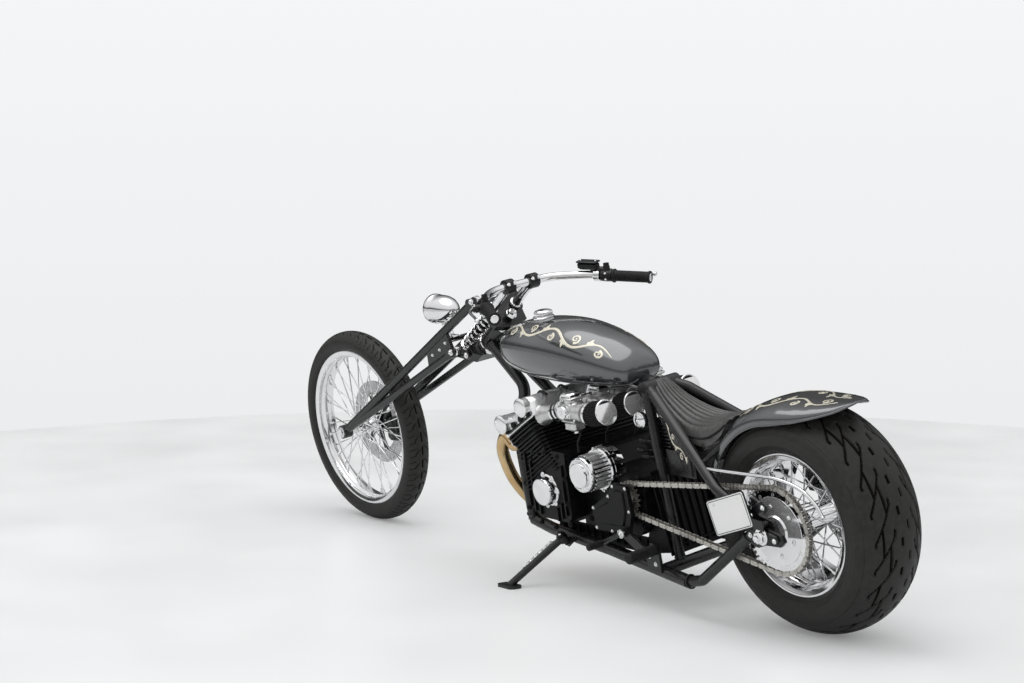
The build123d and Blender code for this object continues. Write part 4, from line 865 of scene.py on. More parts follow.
def makeCovers():
    spec = covers
    part = PartMesh()
    foot = Vector((engine["crank"][0], spec["crankY"], engine["crank"][1]))
    r = spec["crankRadius"]
    part.turned(foot, leftSide, [(0, r), (8, r), (10, r - 2), (12, r - 5), (31, r - 6), (35, r - 8),
                                 (36.5, r - 12), (36.5, 6)], 72)
    for c, s in circle(spec["nuts"], 0.4):
        spot = foot + Vector((c, 0, s)) * (r - 1)
        part.turned(spot, leftSide, [(0, 9.5), (11, 9.5), (13, 7.5)], 20)
        part.bolt(spot + leftSide * 12.5, leftSide, 7)
    part.mirror()
    place = Vector(spec["altPlace"])
    part.turned(place, leftSide, [(100, 62), (130, 66), (140, 66), (146, 60), (146, 30)], 72)
    part.turned(place, leftSide, [(138, 50), (142, 66), (152, 66), (156, 62), (156, 34)], 72)
    part.turned(place, leftSide, [(150, 47), (208, 45), (209, 30)], 64, 1)
    for c, s in circle(spec["altRibs"]):
        out, along = Vector((c, 0, s)), Vector((-s, 0, c))
        part.block(place + leftSide * 181 + out * 49.5, (14, 7.4, 58), 1.6, (out, along, leftSide), 2)
    part.turned(place + leftSide * 206, leftSide, [(0, 46), (2, 55.5), (14, 55.5), (19, 53), (21, 49),
                                                   (21, 45), (19.5, 43.5), (19.5, 40), (29, 39), (31.5, 36),
                                                   (31.5, 5)], 72)
    part.boltRing(place + leftSide * 225.5, 50, 14, 0, leftSide, 4.2, dome=True)
    for c, s in circle(6, 0.1 * pi):
        spot = place + Vector((63 * c, 122, 63 * s))
        part.tube([spot, spot + leftSide * 34], 6.5, 12)
        part.bolt(spot + leftSide * 33.5, leftSide, 7)
    makePiece(part, "engineCovers", "brightChrome controlBlack polishedAlloy", "engine_covers")


makeCovers()

# black case dressing over the plain cases: upright ribs as x, low and high, fins as up, back and front
caseDress = {"ribs": ((880, 262, 420), (902, 250, 300), (924, 240, 282), (1010, 250, 300), (1034, 258, 420),
                      (1058, 270, 440)),
             "fins": ((86, -80, 84), (74, -84, 90), (62, -88, 96), (50, -92, -60), (50, 62, 100),
                      (38, -92, -66), (38, 66, 104)),
             "bolts": ((874, 236), (874, 300), (874, 380), (900, 446), (960, 452), (1020, 448), (1076, 420),
                       (1078, 340), (1076, 262), (1020, 222), (950, 216)),
             "gearBolts": ((600, 250), (600, 400), (680, 216), (720, 440), (820, 452), (850, 240),
                           (780, 222)),
             "sprocketBolts": ((600, 310), (622, 246), (690, 238), (762, 240), (768, 300), (690, 346),
                               (664, 380), (606, 380)),
             "clutch": (742, -222, 318), "drainPlug": (800, 30, 190),
             "sprocketPad": ((612, 306), (628, 262), (744, 256), (752, 296), (690, 330), (652, 370),
                             (616, 368))}


def makeCaseDress():
    spec = caseDress
    part = PartMesh()
    for x, low, high in spec["ribs"]:
        part.plate(((x - 3, low), (x + 3, low), (x + 3, high), (x - 3, high)), 198, 207, 1.5)
    for key, y, tall in (("bolts", 196, 6), ("gearBolts", 132, 7)):
        for x, z in spec[key]:
            part.turned((x, y, z), leftSide, [(0, 9), (tall, 9), (tall + 1.5, 7.5)], 18)
            part.bolt((x, y + tall + 1, z), leftSide, 7.5)
    for up, back, front in spec["fins"]:
        ways = (bankFore, leftSide, bankUp)
        part.block(bank(up, (back + front) / 2, 203), (front - back, 9, 5), 1.4, ways)
    for fore in (-66, -22, 22, 66):
        part.bolt(bank(112, fore, 201), leftSide, 9)
        part.turned(bank(232, fore * 1.05, 203), leftSide, [(0, 11), (6, 11), (8, 8)], 20)
    part.mirror()
    for y in engine["ports"]:
        part.turned(bank(200, 80, y), bankFore, [(0, 30), (8, 30), (10, 27)], 32)
        for s in (-1, 1):
            part.bolt(bank(200 + s * 8, 89, y + s * 27), bankFore, 8, 1)
    for x, z in spec["sprocketBolts"]:
        part.bolt((x, 186, z), leftSide, 7.5, 1, True)
    part.plate(spec["sprocketPad"], 184, 191, 4)
    # bolts of the clutch cover, and the drain plug
    part.boltRing(spec["clutch"], 78, 9, 0, -leftSide, 7.5, 1)
    part.turned(spec["drainPlug"], -upward, [(0, 14), (8, 14), (9, 10), (16, 10), (17, 6)], 6, 1)
    makePiece(part, "caseDress", "engineBlack brightChrome")


makeCaseDress()
print("engine dressed")

# bank of four carburettors with float bowls, top chambers and linkage
# blocks as x and z from the middle, size, edge and finish
carb = {"x": 836.0, "z": 584.6, "throat": 27.0, "inlet": 752, "outlet": 886, "boot": (104, 0, -26),
        "blocks": ((0, 8, (60, 50, 50), 5, 0), (0, 44, (54, 50, 9), 3, 0), (0, 54, (46, 44, 14), 4, 2),
                   (-4, -24, (60, 54, 6), 2, 0), (-4, -41, (50, 44, 30), 6, 0)),
        "drain": ((-26, 0, -58), (-30, 6, -70), (-22, 12, -90), (-20, 12, -120)),
        "rods": ((22, 30, 196, 4.2), (-34, -18, 190, 3.6)), "wheel": (8, 197, 4),
        "pull": ((18, 0, 0), (22, 0, 16), (10, -6, 34), (14, -11, 30))}


def makeCarbs():
    part = PartMesh()
    x0, z0, r = carb["x"], carb["z"], carb["throat"]
    stub = Vector(carb["boot"]).normalized()
    for y in engine["ports"]:
        part.turned((carb["inlet"], y, z0 + 2), ahead, [(0, 22), (0, 26), (16, 26), (18, 31), (25, 31),
                                                        (27, 27), (64, r), (70, r + 3), (112, r + 3),
                                                        (116, 33), (124, 33), (126, 27), (140, 27)], 36)
        mouth = Vector((carb["outlet"], y, z0))
        part.turned(mouth, stub, [(0, 27), (3, 28), (36, 28), (40, 26)], 32, 1)
        part.turned(mouth, stub, [(36, 20), (38, 25), (76, 27), (92, 30), (98, 34), (104, 32)], 32)
        for along in (6, 26):
            part.turned(mouth + stub * along, stub, [(0, 28), (0, 30), (8, 30), (8, 28)], 32, 2)
        for dx, dz, size, edge, kind in carb["blocks"]:
            part.block((x0 + dx, y, z0 + dz), size, edge, finish=kind)
        part.turned((x0, y, z0 + 26), upward, [(0, 22), (8, 23.5), (16, 23.5)], 36)
        part.turned((x0 - 4, y, z0 - 55), -upward, [(0, 9), (4, 9), (5, 7), (10, 7)], 6, 2)
        for sx in (-22, 22):
            for sy in (-20, 20):
                part.bolt((x0 + sx, y + sy, z0 + 48), upward, 5, 2, True)
                part.bolt((x0 - 4 + sx * 1.1, y + sy, z0 - 27), -upward, 5, 2, True)
        part.turned((x0 + 8, y, z0 + 4), leftSide, [(-32, 4), (-31, 8), (31, 8), (32, 4)], 16)
        for side in (1, -1):
            part.turned((x0 - 20, y + side * 24, z0 - 4), leftSide * side,
                        [(0, 7), (7, 7), (8, 5), (13, 4.5)], 16, 2)
        part.tube(smoothLine([(x0 + a, y + b, z0 + c) for a, b, c in carb["drain"]], 5), 3.2, 8, 1)
    for dx, dz, half, thick in carb["rods"]:
        part.tube([(x0 + dx, -half, z0 + dz), (x0 + dx, half, z0 + dz)], thick, 12, 2)
    wheel = Vector((x0, 0, z0)) + Vector(carb["wheel"])
    part.turned(wheel, leftSide, [(-6, 10), (-5, 19), (-2, 20), (0, 17), (2, 20), (5, 19), (6, 10)], 40, 2)
    part.bolt(wheel + leftSide * 5, leftSide, 9, 2)
    part.tube(smoothLine([wheel + Vector(p) for p in carb["pull"]], 5), 2.6, 8, 2)
    makePiece(part, "carburettorBank", "castAlloy softRubber brightChrome", "carburettors")


makeCarbs()

# pleated filter pods with polished end discs, tilted up
pods = {"from": 750.0, "to": 672.0, "pleats": 34, "z": 587.0, "tilt": 0.16, "discWay": (-1, 0, 0.28)}


def makePods():
    part, discs = PartMesh(), PartMesh()
    a0, a1, z = pods["from"], pods["to"], pods["z"]
    for y in engine["ports"]:
        rows = []
        for x, r, deep in ((a0 - 10, 35, 0), (a0 - 13, 37, 1), (a1 + 8, 36, 1), (a1 + 5, 35, 0)):
            ring = []
            for k, (c, s) in enumerate(circle(pods["pleats"] * 4)):
                out = r + (1.5 if k % 4 in (0, 1) else -1.7) * deep
                ring.append((x, y + out * c, z + (a0 - x) * pods["tilt"] + out * s))
            rows.append(ring)
        part.sheet(rows, caps=True)
        part.turned((a0 + 4, y, z), -ahead, [(0, 29), (2, 33), (12, 34), (13, 37), (17, 38), (18, 35)], 40)
        part.turned((a1 + 8, y, z + 11), pods["discWay"], [(0, 33), (1, 37.5), (6, 38), (7, 36)], 40)
        discs.turned((a0 + 3, y, z), -ahead, [(0, 33.5), (0, 35.4), (9, 35.4), (9, 33.5)], 40)
        discs.turned((a1 + 3, y, z + 12.4), pods["discWay"],
                     [(0, 33), (0, 38.6), (3, 39), (4.6, 37.4), (5.2, 34), (5.8, 3)], 48)
    makePiece(part, "filterPods", "filterBlack", "air_filters")
    makePiece(discs, "filterDiscs", "polishedAlloy", "filter_caps")


makePods()

# swept headers, flanges at the ports, four into one under the sump: x, share of the port's y, z
headers = {"radius": 19.5, "sweep": ((1196, 1, 470), (1229, 0.98, 428), (1238, 0.9, 372), (1232, 0.78, 310),
                                     (1212, 0.6, 252), (1176, 0.448, 219), (1120, 0.4, 213),
                                     (1062, 0.4, 214))}


def makeHeaders():
    part = PartMesh()
    for y in engine["ports"]:
        path = [bank(200, 84, y), bank(196, 122, y)]
        path += [(x, y * share, z) for x, share, z in headers["sweep"]]
        part.tube(smoothLine(path, 6), headers["radius"], 24)
        part.turned(bank(200, 86, y), bankFore, [(0, 27), (7, 27), (9, 24), (16, 22.5), (18, 20)], 32, 1)
    makePiece(part, "exhaustHeaders", "tintedSteel brightChrome", "exhaust_headers")


makeHeaders()
print("intake and exhaust fitted")

# steering head frame: up the neck, ahead of it and to the side
head = {"place": (1405.0, 748.0)}
headUp, headFore = Vector((-0.7986, 0, 0.6018)), Vector((0.6018, 0, 0.7986))


def atHead(up, fore, y):
    return Vector((head["place"][0], y, head["place"][1])) + headUp * up + headFore * fore


# coil spring over a polished damper
damper = {"fore": 60.0, "top": 18.0, "low": -162.0, "coil": 23.0, "wire": 5.0, "turns": 7.0, "steps": 200}


def makeDamper():
    spec = damper
    line = []
    for k in range(spec["steps"] + 1):
        u = k / spec["steps"]
        pinch = 0.5 - 0.5 * cos(pi * u)
        along = spec["top"] + (spec["low"] - spec["top"]) * (0.82 * u + 0.18 * pinch)
        a = 2 * pi * spec["turns"] * u
        line.append(atHead(along, spec["fore"] + spec["coil"] * cos(a), spec["coil"] * sin(a)))
    part = PartMesh()
    part.tube(line, spec["wire"], 10)
    makePiece(part, "shockSpring", "brightChrome", "shock_spring", "fork")
    rod = PartMesh()
    top = atHead(75, spec["fore"], 0)
    rod.turned(top, -headUp, [(0, 5), (1, 8.5), (40, 8.5), (42, 13), (44, 27), (52, 27), (54, 24),
                              (57, 14)], 40)
    rod.turned(top, -headUp, [(56, 8), (57, 13.5), (150, 13.5), (152, 12), (240, 12), (241, 8)], 40, 1)
    rod.turned(top, -headUp, [(236, 14), (239, 24), (241, 27), (250, 27), (252, 14), (256, 12), (268, 12),
                              (271, 8)], 40)
    for up in (70, -194):
        rod.turned(atHead(up, spec["fore"], -15), leftSide, [(0, 9), (2, 13.5), (28, 13.5), (30, 9)], 28)
    makePiece(rod, "shockDamper", "brightChrome controlBlack", "shock", "fork")


makeDamper()

# bullet lamp on its stalk, with rim, reflector and clear lens
lamp = {"place": (1690.0, 0.0, 810.0), "radius": 48.0,
        "stalk": ((1660, 0, 712), (1664, 0, 728), (1676, 0, 748), (1686, 0, 764)), "stalkRadius": 9,
        "collar": (1686, 0, 756), "clamp": (1662, 0, 714), "clampSize": (26, 44, 18),
        "clampBolt": (1660, -24, 716)}


def makeLamp():
    place, r = Vector(lamp["place"]), lamp["radius"]
    part = PartMesh()
    part.turned(place, ahead, [(-68, 2), (-67, 8), (-63, 17), (-55, 27), (-43, 36), (-28, 43), (-10, 47),
                               (10, r), (34, r), (36, r + 1.6), (40, r + 2), (50, r + 2), (54, r),
                               (54, r - 3), (50, r - 5), (44, r - 6), (30, 36), (16, 24), (8, 10),
                               (6, 2)], 72)
    part.turned(place, ahead, [(10, 6), (26, 6), (34, 5), (38, 2)], 20)
    part.tube(smoothLine(lamp["stalk"], 5), lamp["stalkRadius"], 20)
    part.turned(lamp["collar"], upward, [(0, 9), (1, 15), (6, 16), (9, 12)], 28)
    part.bolt(lamp["clampBolt"], -leftSide, 9)
    part.block(lamp["clamp"], lamp["clampSize"], 4)
    part.bolt(place + Vector((44, 0, -r - 1)), -upward, 5)
    makePiece(part, "bulletLamp", "brightChrome", "headlamp", "fork", 40)
    lens = PartMesh()
    lens.turned(place, ahead, [(44, 42.5), (46.5, 42.5), (49, 38), (51, 26), (52, 12), (52.3, 1), (50.3, 1),
                               (50, 12), (49, 26), (47, 37.5), (44, 41)], 64, closed=True)
    makePiece(lens, "lampLens", "lampGlass", "headlamp_lens", "fork", 60)


makeLamp()

# pulled-back bar, risers, grips, perches and levers
bar = {"points": ((1240, 116, 922), (1154, 215, 912), (970, 308, 893)), "radius": 12.7, "bend": 140,
       "gripLength": 125.0, "gripRings": 18, "riser": 48.0}


def roundCorners(points, radius, steps):
    out = [points[0]]
    for a, b, c in zip(points, points[1:], points[2:]):
        inWay, outWay = (b - a).normalized(), (c - b).normalized()
        cut = min(radius * tan(inWay.angle(outWay) / 2), (b - a).length * 0.48, (c - b).length * 0.48)
        p, q = b - inWay * cut, b + outWay * cut
        for k in range(steps + 1):
            t = k / steps
            out.append(p * (1 - t) ** 2 + b * 2 * t * (1 - t) + q * t * t)
    return out + [points[-1]]


def makeBar():
    spec = bar
    half = [Vector(p) for p in spec["points"]]
    part = PartMesh()
    whole = [Vector((p.x, -p.y, p.z)) for p in reversed(half)] + half
    part.tube(roundCorners(whole, spec["bend"], 10), spec["radius"], 24)
    makePiece(part, "pulledBar", "brightChrome", "handlebar", "fork")
    risers = PartMesh()
    for y in (spec["riser"], -spec["riser"]):
        foot, top = atHead(104, 40, y), Vector((half[0].x, y, half[0].z))
        way, far = (top - foot).normalized(), (top - foot).length
        risers.turned(foot, way, [(-6, 14), (-2, 20), (6, 20), (9, 16), (far * 0.5, 14), (far - 24, 15),
                                  (far - 20, 18), (far - 12, 18)], 32)
        risers.turned(top - leftSide * 17, leftSide, [(0, 20), (2, 24), (32, 24), (34, 20)], 36, 1)
        for s in (-11, 11):
            risers.bolt(top + leftSide * s + way * 22 - headFore * 4, way, 8)
            risers.bolt(top + leftSide * s - headFore * 2 + headUp * 22, headUp, 7)
    makePiece(risers, "barRisers", "brightChrome controlBlack", "risers", "fork")


# one side's grip, perch and lever, then the same on the other side
def makeControls():
    spec = bar
    bend, end = [Vector(p) for p in spec["points"][1:]]
    run = (end - bend).normalized()
    out = run.cross(upward).normalized()
    out = out if out.y > 0 else -out
    grips, perches, levers = PartMesh(), PartMesh(), PartMesh()
    prof = [(0, 13), (0, 22), (4, 22.5), (7, 20), (9, 17.5)]
    for k in range(spec["gripRings"]):
        a = 14 + k * 5.6
        prof += [(a, 17.8), (a + 1.2, 16.6), (a + 2.6, 16.6), (a + 3.8, 17.8)]
    prof += [(119, 18), (122, 20.5), (126, 20), (128, 15), (128.5, 4)]
    grips.turned(end - run * spec["gripLength"], run, prof)
    grips.turned(end + run * 1.5, run, [(0, 12), (1.5, 13), (3.5, 11), (4.5, 3)], 28, 1)
    perch = end - run * (spec["gripLength"] + 22)
    perches.turned(perch - run * 20, run, [(0, 14), (2, 19), (16, 20), (17, 18.6), (20, 18.6), (21, 20),
                                           (38, 19), (41, 14)])
    perches.turned(perch, out, [(0, 12), (20, 12), (30, 13.5), (40, 12), (42, 8)], 24)
    perches.turned(perch + upward * 8, upward, [(0, 11), (20, 11), (24, 9.5), (32, 9.5), (32, 5.4),
                                                (22, 5.4)], 24)
    for s in (-9.6, 9.6):
        perches.bolt(perch - out * 17 + upward * s, -out, 6, 1)
    pivot, tip = perch + out * 34, end + out * 52 - run * 6
    levers.turned(pivot - upward * 11, upward, [(0, 7), (1, 9.5), (21, 9.5), (22, 7)], 24)
    levers.bolt(pivot + upward * 11, upward, 8)
    path = smoothLine([pivot + out * 6, pivot + out * 17 + run * 16, pivot + out * 21 + run * 48,
                       tip - run * 46, tip - run * 14, tip], 7)
    levers.tube(path, [6.6 - 2.2 * k / (len(path) - 1) for k in range(len(path))], 16, flat=0.8)
    levers.turned(tip - run * 7, run, [(0, 2), (1.5, 5.2), (4.5, 7.3), (7.5, 7.8), (10.5, 7.2), (13, 5.2),
                                       (14.6, 1.5)], 24)
    for part in (grips, perches, levers):
        part.mirror()
    # switch collar on each side, and the brake's fluid box on the right
    collar = [(0, 14), (2, 20.5), (18, 20.5), (19, 19.4), (21, 19.4), (22, 20.5), (24, 15)]
    flip = Matrix.Diagonal((1, -1, 1))
    perches.turned(perch - run * 44, run, collar)
    perches.turned(flip @ (perch - run * 44), flip @ run, collar, finish=1)
    box = flip @ (perch - run * 62) + upward * 16
    ways = (flip @ run, flip @ out, upward)
    perches.block(box + upward * 13, (64, 40, 22), 5, ways)
    perches.block(box + upward * 26, (68, 43, 6), 2, ways)
    for s in (-26, 26):
        perches.bolt(box + upward * 29 + ways[0] * s, upward, 5, 1, True)
    perches.turned(flip @ perch + upward * 16, -ways[0], [(0, 9), (2, 12), (52, 12), (54, 8)], 24)
    makePiece(grips, "handGrips", "softRubber brightChrome", "grips", "fork")
    makePiece(perches, "leverPerches", "controlBlack brightChrome", "lever_perches", "fork")
    makePiece(levers, "handLevers", "brightChrome", "hand_levers", "fork")


makeBar()
makeControls()
print("controls fitted")

# pivots, cups and bolts of the girder fork
girder = {"pivots": ((1374, 877), (1529, 699)), "pads": ((1566, 726), (1604, 700), (1650, 678)),
          "links": ((86.5, 38), (-103.5, 0)), "pivotY": 105, "linkY": 74, "padY": 96, "cups": (69, -69)}


def makeForkDress():
    part = PartMesh()
    for x, z in girder["pivots"]:
        part.bolt((x, girder["pivotY"], z), leftSide, 15, dome=True)
        part.turned((x, girder["linkY"], z), leftSide, [(0, 13), (3, 15), (14, 15), (16, 12)], 24)
    for up, fore in girder["links"]:
        part.bolt(atHead(up, fore, girder["linkY"]), leftSide, 14, dome=True)
    for x, z in girder["pads"]:
        part.bolt((x, girder["padY"], z), leftSide, 8)
    nut = Vector((frontHub[0], girder["pivotY"], frontHub[1]))
    part.turned(nut, leftSide, [(0, 13), (1, 19), (4, 19), (5, 15)], 32)
    part.turned(nut, leftSide, [(4, 14.5), (12, 14.5), (15, 12), (16, 5)], 6)
    part.mirror()
    for up in girder["cups"]:
        part.turned(atHead(up, 0, 0), headUp * up, [(-14, 33), (-12, 35), (2, 35), (5, 33.5), (8, 28),
                                                    (10, 26)], 48)
    part.turned(atHead(112, 0, 0), headUp, [(0, 17), (3, 19), (7, 19), (8, 17), (18, 15), (19, 6)], 6)
    makePiece(part, "forkBolts", "brightChrome", body="fork")


makeForkDress()

# drilled brake discs on six-armed carriers
frontBrake = {"name": "front", "place": frontHub, "y": -56.0, "inner": 100.0, "outer": 150.0, "hub": 34.0,
              "hubEnd": -44.0}
rearBrake = {"name": "rear", "place": rearHub, "y": -142.0, "inner": 92.0, "outer": 138.0, "hub": 44.0,
             "hubEnd": -86.0}
drilling = {"cells": 48, "bands": 3, "hole": 3.9, "half": 2.5, "arms": 6}


def makeDisc(spec):
    part = PartMesh()
    (x, z), y, inner, hub = spec["place"], spec["y"], spec["inner"], spec["hub"]
    n, hole = drilling["cells"], drilling["hole"]
    step = (spec["outer"] - inner) / drilling["bands"]
    wide = pi / n

    def spot(r, turn, side):
        return (x + r * cos(turn), y + side * drilling["half"], z + r * sin(turn))

    # square cell round a hole, as (square, circle) corners
    corners = [(c / max(abs(c), abs(s)), s / max(abs(c), abs(s)), c, s) for c, s in circle(16, pi / 4)]
    for b in range(drilling["bands"]):
        r = inner + step * (b + 0.5)
        for k in range(n):
            turn = 2 * wide * k
            rims, holes = [], []
            for side in (1, -1):
                rims.append([spot(r + v * step / 2, turn + u * wide, side) for u, v, c, s in corners])
                holes.append([spot(r + s * hole, turn + c * hole / r, side) for u, v, c, s in corners])
            if (k + b) % 2:
                for side, rim in zip((1, -1), rims):
                    part.add(rim + [spot(r, turn, side)], [(i, (i + 1) % 16, 16) for i in range(16)])
            else:
                part.sheet([rims[0], holes[0], holes[1], rims[1]])
    ring = [2 * wide * k + u * wide for k in range(n) for u in (-1, -0.4142, 0, 0.4142)]
    for r in (inner, spec["outer"]):
        part.sheet([[spot(r, t, side) for t in ring] for side in (1, -1)])
    middle = Vector((x, z))
    for c, s in circle(drilling["arms"], radians(15)):
        way, off = Vector((c, s)), Vector((-s, c))
        edge = [(hub - 6, 15), (inner - 18, 9), (inner + 7, 11)]
        arm = [middle + way * a + off * b for a, b in edge + [(a, -b) for a, b in reversed(edge)]]
        part.plate(arm, y + 5.5, y + 1.6, 0.8, 1)
        rivet = middle + way * (inner + 1)
        part.turned((rivet.x, y - 4.5, rivet.y), leftSide, [(0, 4), (1, 6), (9.5, 6), (10.5, 4)], 16, 2)
    end = spec["hubEnd"] - y + 6
    part.turned((x, y - 6, z), leftSide, [(0, 14), (0, hub - 6), (2, hub - 2), (14, hub), (end, hub),
                                          (end, 14)], 48, 1, True)
    part.boltRing((x, y - 5, z), hub - 10, drilling["arms"], pi / 4, -leftSide, 7, 2)
    name = spec["name"]
    makePiece(part, name + "Disc", "discSteel controlBlack brightChrome", name + "_disc", name + "_wheel")


makeDisc(frontBrake)
makeDisc(rearBrake)

# brake calipers: two bolted halves with piston bosses on a bracket
frontCaliper = {"name": "front", "body": "fork", "y": -56.0, "bridge": ((2129, 322), (2131, 358)),
                "outline": ((2136, 302), (2150, 294), (2190, 291), (2204, 300), (2207, 360), (2196, 372),
                            (2150, 384), (2138, 374)), "pistons": ((2172, 316), (2172, 354)),
                "bracket": ((2142, 330), (2198, 330), (2204, 390), (2142, 418)), "bracketY": (-90, -75)}
rearCaliper = {"name": "rear", "body": "chassis", "y": -142.0, "bridge": ((120, 438), (160, 418)),
               "outline": ((68, 396), (84, 378), (132, 354), (150, 354), (174, 398), (170, 412), (108, 444),
                           (92, 442)),
               "pistons": ((104, 400), (138, 384)),
               "bracket": ((22, 360), (60, 338), (150, 354), (92, 444), (66, 392)),
               "bracketY": (-181, -170)}


def makeCaliper(spec):
    part = PartMesh()
    y = spec["y"]
    for near, far in ((6, 24), (-6, -24)):
        part.plate(spec["outline"], y + near, y + far, 4)
    for x, z in spec["bridge"]:
        part.tube([(x, y - 22, z), (x, y + 22, z)], 8, 16)
        part.bolt((x, y - 22, z), -leftSide, 8, 1)
    for x, z in spec["pistons"]:
        part.turned((x, y - 22, z), -leftSide, [(0, 19), (5, 19), (7, 17), (8, 10), (7.4, 4)], 32)
        part.turned((x, y + 22, z), leftSide, [(0, 19), (2, 19), (3, 16)], 32)
    part.plate(spec["bracket"], *spec["bracketY"], 2)
    x, z = spec["outline"][0]
    # bleed nipple
    part.turned((x + 12, y - 10, z + 2), (-0.4, 0, -1), [(0, 3), (6, 5), (12, 5), (14, 2.5)], 6, 1)
    name = spec["name"]
    makePiece(part, name + "Caliper", "controlBlack brightChrome", name + "_caliper", spec["body"])


makeCaliper(frontCaliper)
makeCaliper(rearCaliper)
print("brakes drilled")

# rear axle: clamp blocks, adjusters and nuts, and the sprocket's bolts
axle = {"side": 193.0, "block": ((-80, 324), (-62, 308), (44, 302), (66, 314), (64, 350), (30, 362),
                                 (-30, 354), (-72, 342)),
        "claw": ((62, 352), (34, 358), (24, 388), (2, 404), (-14, 398), (-20, 410), (4, 426), (34, 412),
                 (54, 386)),
        "bolts": ((-48, 326, 19), (46, 330, 19), (-6, 412, 11), (40, 384, 11))}


def makeAxle():
    part = PartMesh()
    s, z0 = axle["side"], bike["rearRadius"]
    part.plate(axle["block"], s - 1, s + 13, 3)
    part.plate([(x * 0.8, z0 + (z - z0) * 0.72) for x, z in axle["block"]], s + 12, s + 20, 4)
    part.plate(axle["claw"], s, s + 12, 3)
    part.turned((0, s, z0), leftSide, [(19, 24), (22, 24), (23, 20)], 40, 1)
    part.turned((0, s + 22, z0), leftSide, [(0, 19), (12, 19), (15, 16), (15, 11), (22, 11), (23, 9)], 6, 1)
    for x, z, out in axle["bolts"]:
        part.bolt((x, s + out, z), leftSide, 11, 1, True)
    part.tube([(34, s + 6, 336), (92, s + 6, 352)], 5, 12, 1)
    part.bolt((92, s + 6, 352), (0.96, 0, 0.27), 11, 1)
    part.mirror()
    makePiece(part, "axleBlocks", "controlBlack brightChrome")
    wheel = PartMesh()
    wheel.boltRing((0, 156, z0), 70, 6, radians(20), leftSide, 11, dome=True)
    face = [(0, 98), (1.6, 97), (1.8, 60), (3.5, 46), (9, 42), (10, 24)]
    wheel.turned((0, 155.5, z0), leftSide, face, 72)
    hole = [(0, 5.4), (0.8, 5), (0.9, 3.4), (0.2, 3.2)]
    for c, s in circle(12):
        wheel.turned((104 * c, 155.6, z0 + 104 * s), leftSide, hole, 16)
    makePiece(wheel, "sprocketFace", "polishedAlloy", body="rear_wheel")


makeAxle()

# polished guard rod over the chain
guardRod = {"points": ((276, 160, 478), (200, 165, 481), (60, 166, 486), (-40, 166, 486), (-120, 166, 470),
                       (-172, 166, 436), (-196, 166, 402)), "radius": 5.2}


def makeGuardRod():
    part = PartMesh()
    line = smoothLine(guardRod["points"], 9)
    part.tube(line, guardRod["radius"], 16)
    part.turned(line[-1], line[-1] - line[-4], [(-2, 5.2), (0, 6.4), (4, 6.4), (6, 3)], 16)
    makePiece(part, "guardRod", "brightChrome", "chain_guard")


makeGuardRod()

# blank number plate in a black holder
plate = {"place": (108, 384), "turn": 161.5, "size": (160, 100), "bolts": ((-52, -36), (52, -36)),
         "y": 224.0}


# a spot in the plate's own turned directions
def onPlate(u, v):
    c, s = cos(radians(plate["turn"])), sin(radians(plate["turn"]))
    return plate["place"][0] + u * c - v * s, plate["place"][1] + u * s + v * c


def plateOutline(width, height, corner):
    out = []
    for sx, sz, start in ((1, 1, 0), (-1, 1, 90), (-1, -1, 180), (1, -1, 270)):
        for k in range(6):
            a = radians(start + 18 * k)
            u, v = sx * (width / 2 - corner), sz * (height / 2 - corner)
            out.append(onPlate(u + corner * cos(a), v + corner * sin(a)))
    return out


def makePlate():
    w, h = plate["size"]
    y = plate["y"]
    part = PartMesh()
    part.plate(plateOutline(w + 5, h + 5, 9), y - 5, y - 0.4, 1, 1)
    part.plate(plateOutline(w, h, 8), y - 0.6, y + 1.6, 0.5)
    part.tube([(x, y + 1.5, z) for x, z in plateOutline(w - 8, h - 8, 6)], 1.1, 6, 1, True)
    for u, v in plate["bolts"]:
        x, z = onPlate(u, v)
        part.bolt((x, y + 1.4, z), leftSide, 6, 2, True)
    makePiece(part, "blankPlate", "plateWhite controlBlack brightChrome", "number_plate")


makePlate()

# ribbed foot pegs, toe rubbers and their pivot bolts
pegs = {"place": (490, 197, 214), "toe": (718, 206, 203), "pivot": (622, 204, 246),
        "bolts": ((490, 197, 170), (516, 197, 190), (622, 211, 246), (490, 187, 214))}


def makePegs():
    part, dress = PartMesh(), PartMesh()
    prof = [(0, 9), (0, 15), (4, 15), (5, 16.4)]
    for k in range(12):
        a = 8 + k * 6.6
        prof += [(a, 17), (a + 3.6, 17), (a + 4.6, 15.2), (a + 5.6, 15.2)]
    part.turned(pegs["place"], leftSide, prof + [(90, 17), (97, 17), (101, 14), (102, 5)], 28)
    toe = [(0, 9), (1, 10.6)]
    for k in range(8):
        toe += [(4 + k * 6 + d, r) for d, r in ((0, 10.8), (3, 10.8), (4, 9.6), (5, 9.6))]
    part.turned(pegs["toe"], leftSide, toe + [(54, 10.8), (57, 9), (58, 3)], 20)
    for spot in pegs["bolts"]:
        dress.bolt(spot, leftSide, 10, dome=True)
    dress.turned(pegs["pivot"], leftSide, [(0, 14), (6, 14), (7, 12)], 24)
    part.mirror()
    dress.mirror()
    makePiece(part, "pegRubbers", "softRubber", "foot_pegs")
    makePiece(dress, "footBolts", "brightChrome")


makePegs()

# side stand: return spring along the leg, pivot bolt
stand = {"pivot": (945, 184, 178), "foot": (1015, 357.4, 58.4), "axis": (0, 0.532, 0.846), "coil": 6.5,
         "wire": 1.7, "turns": 22}


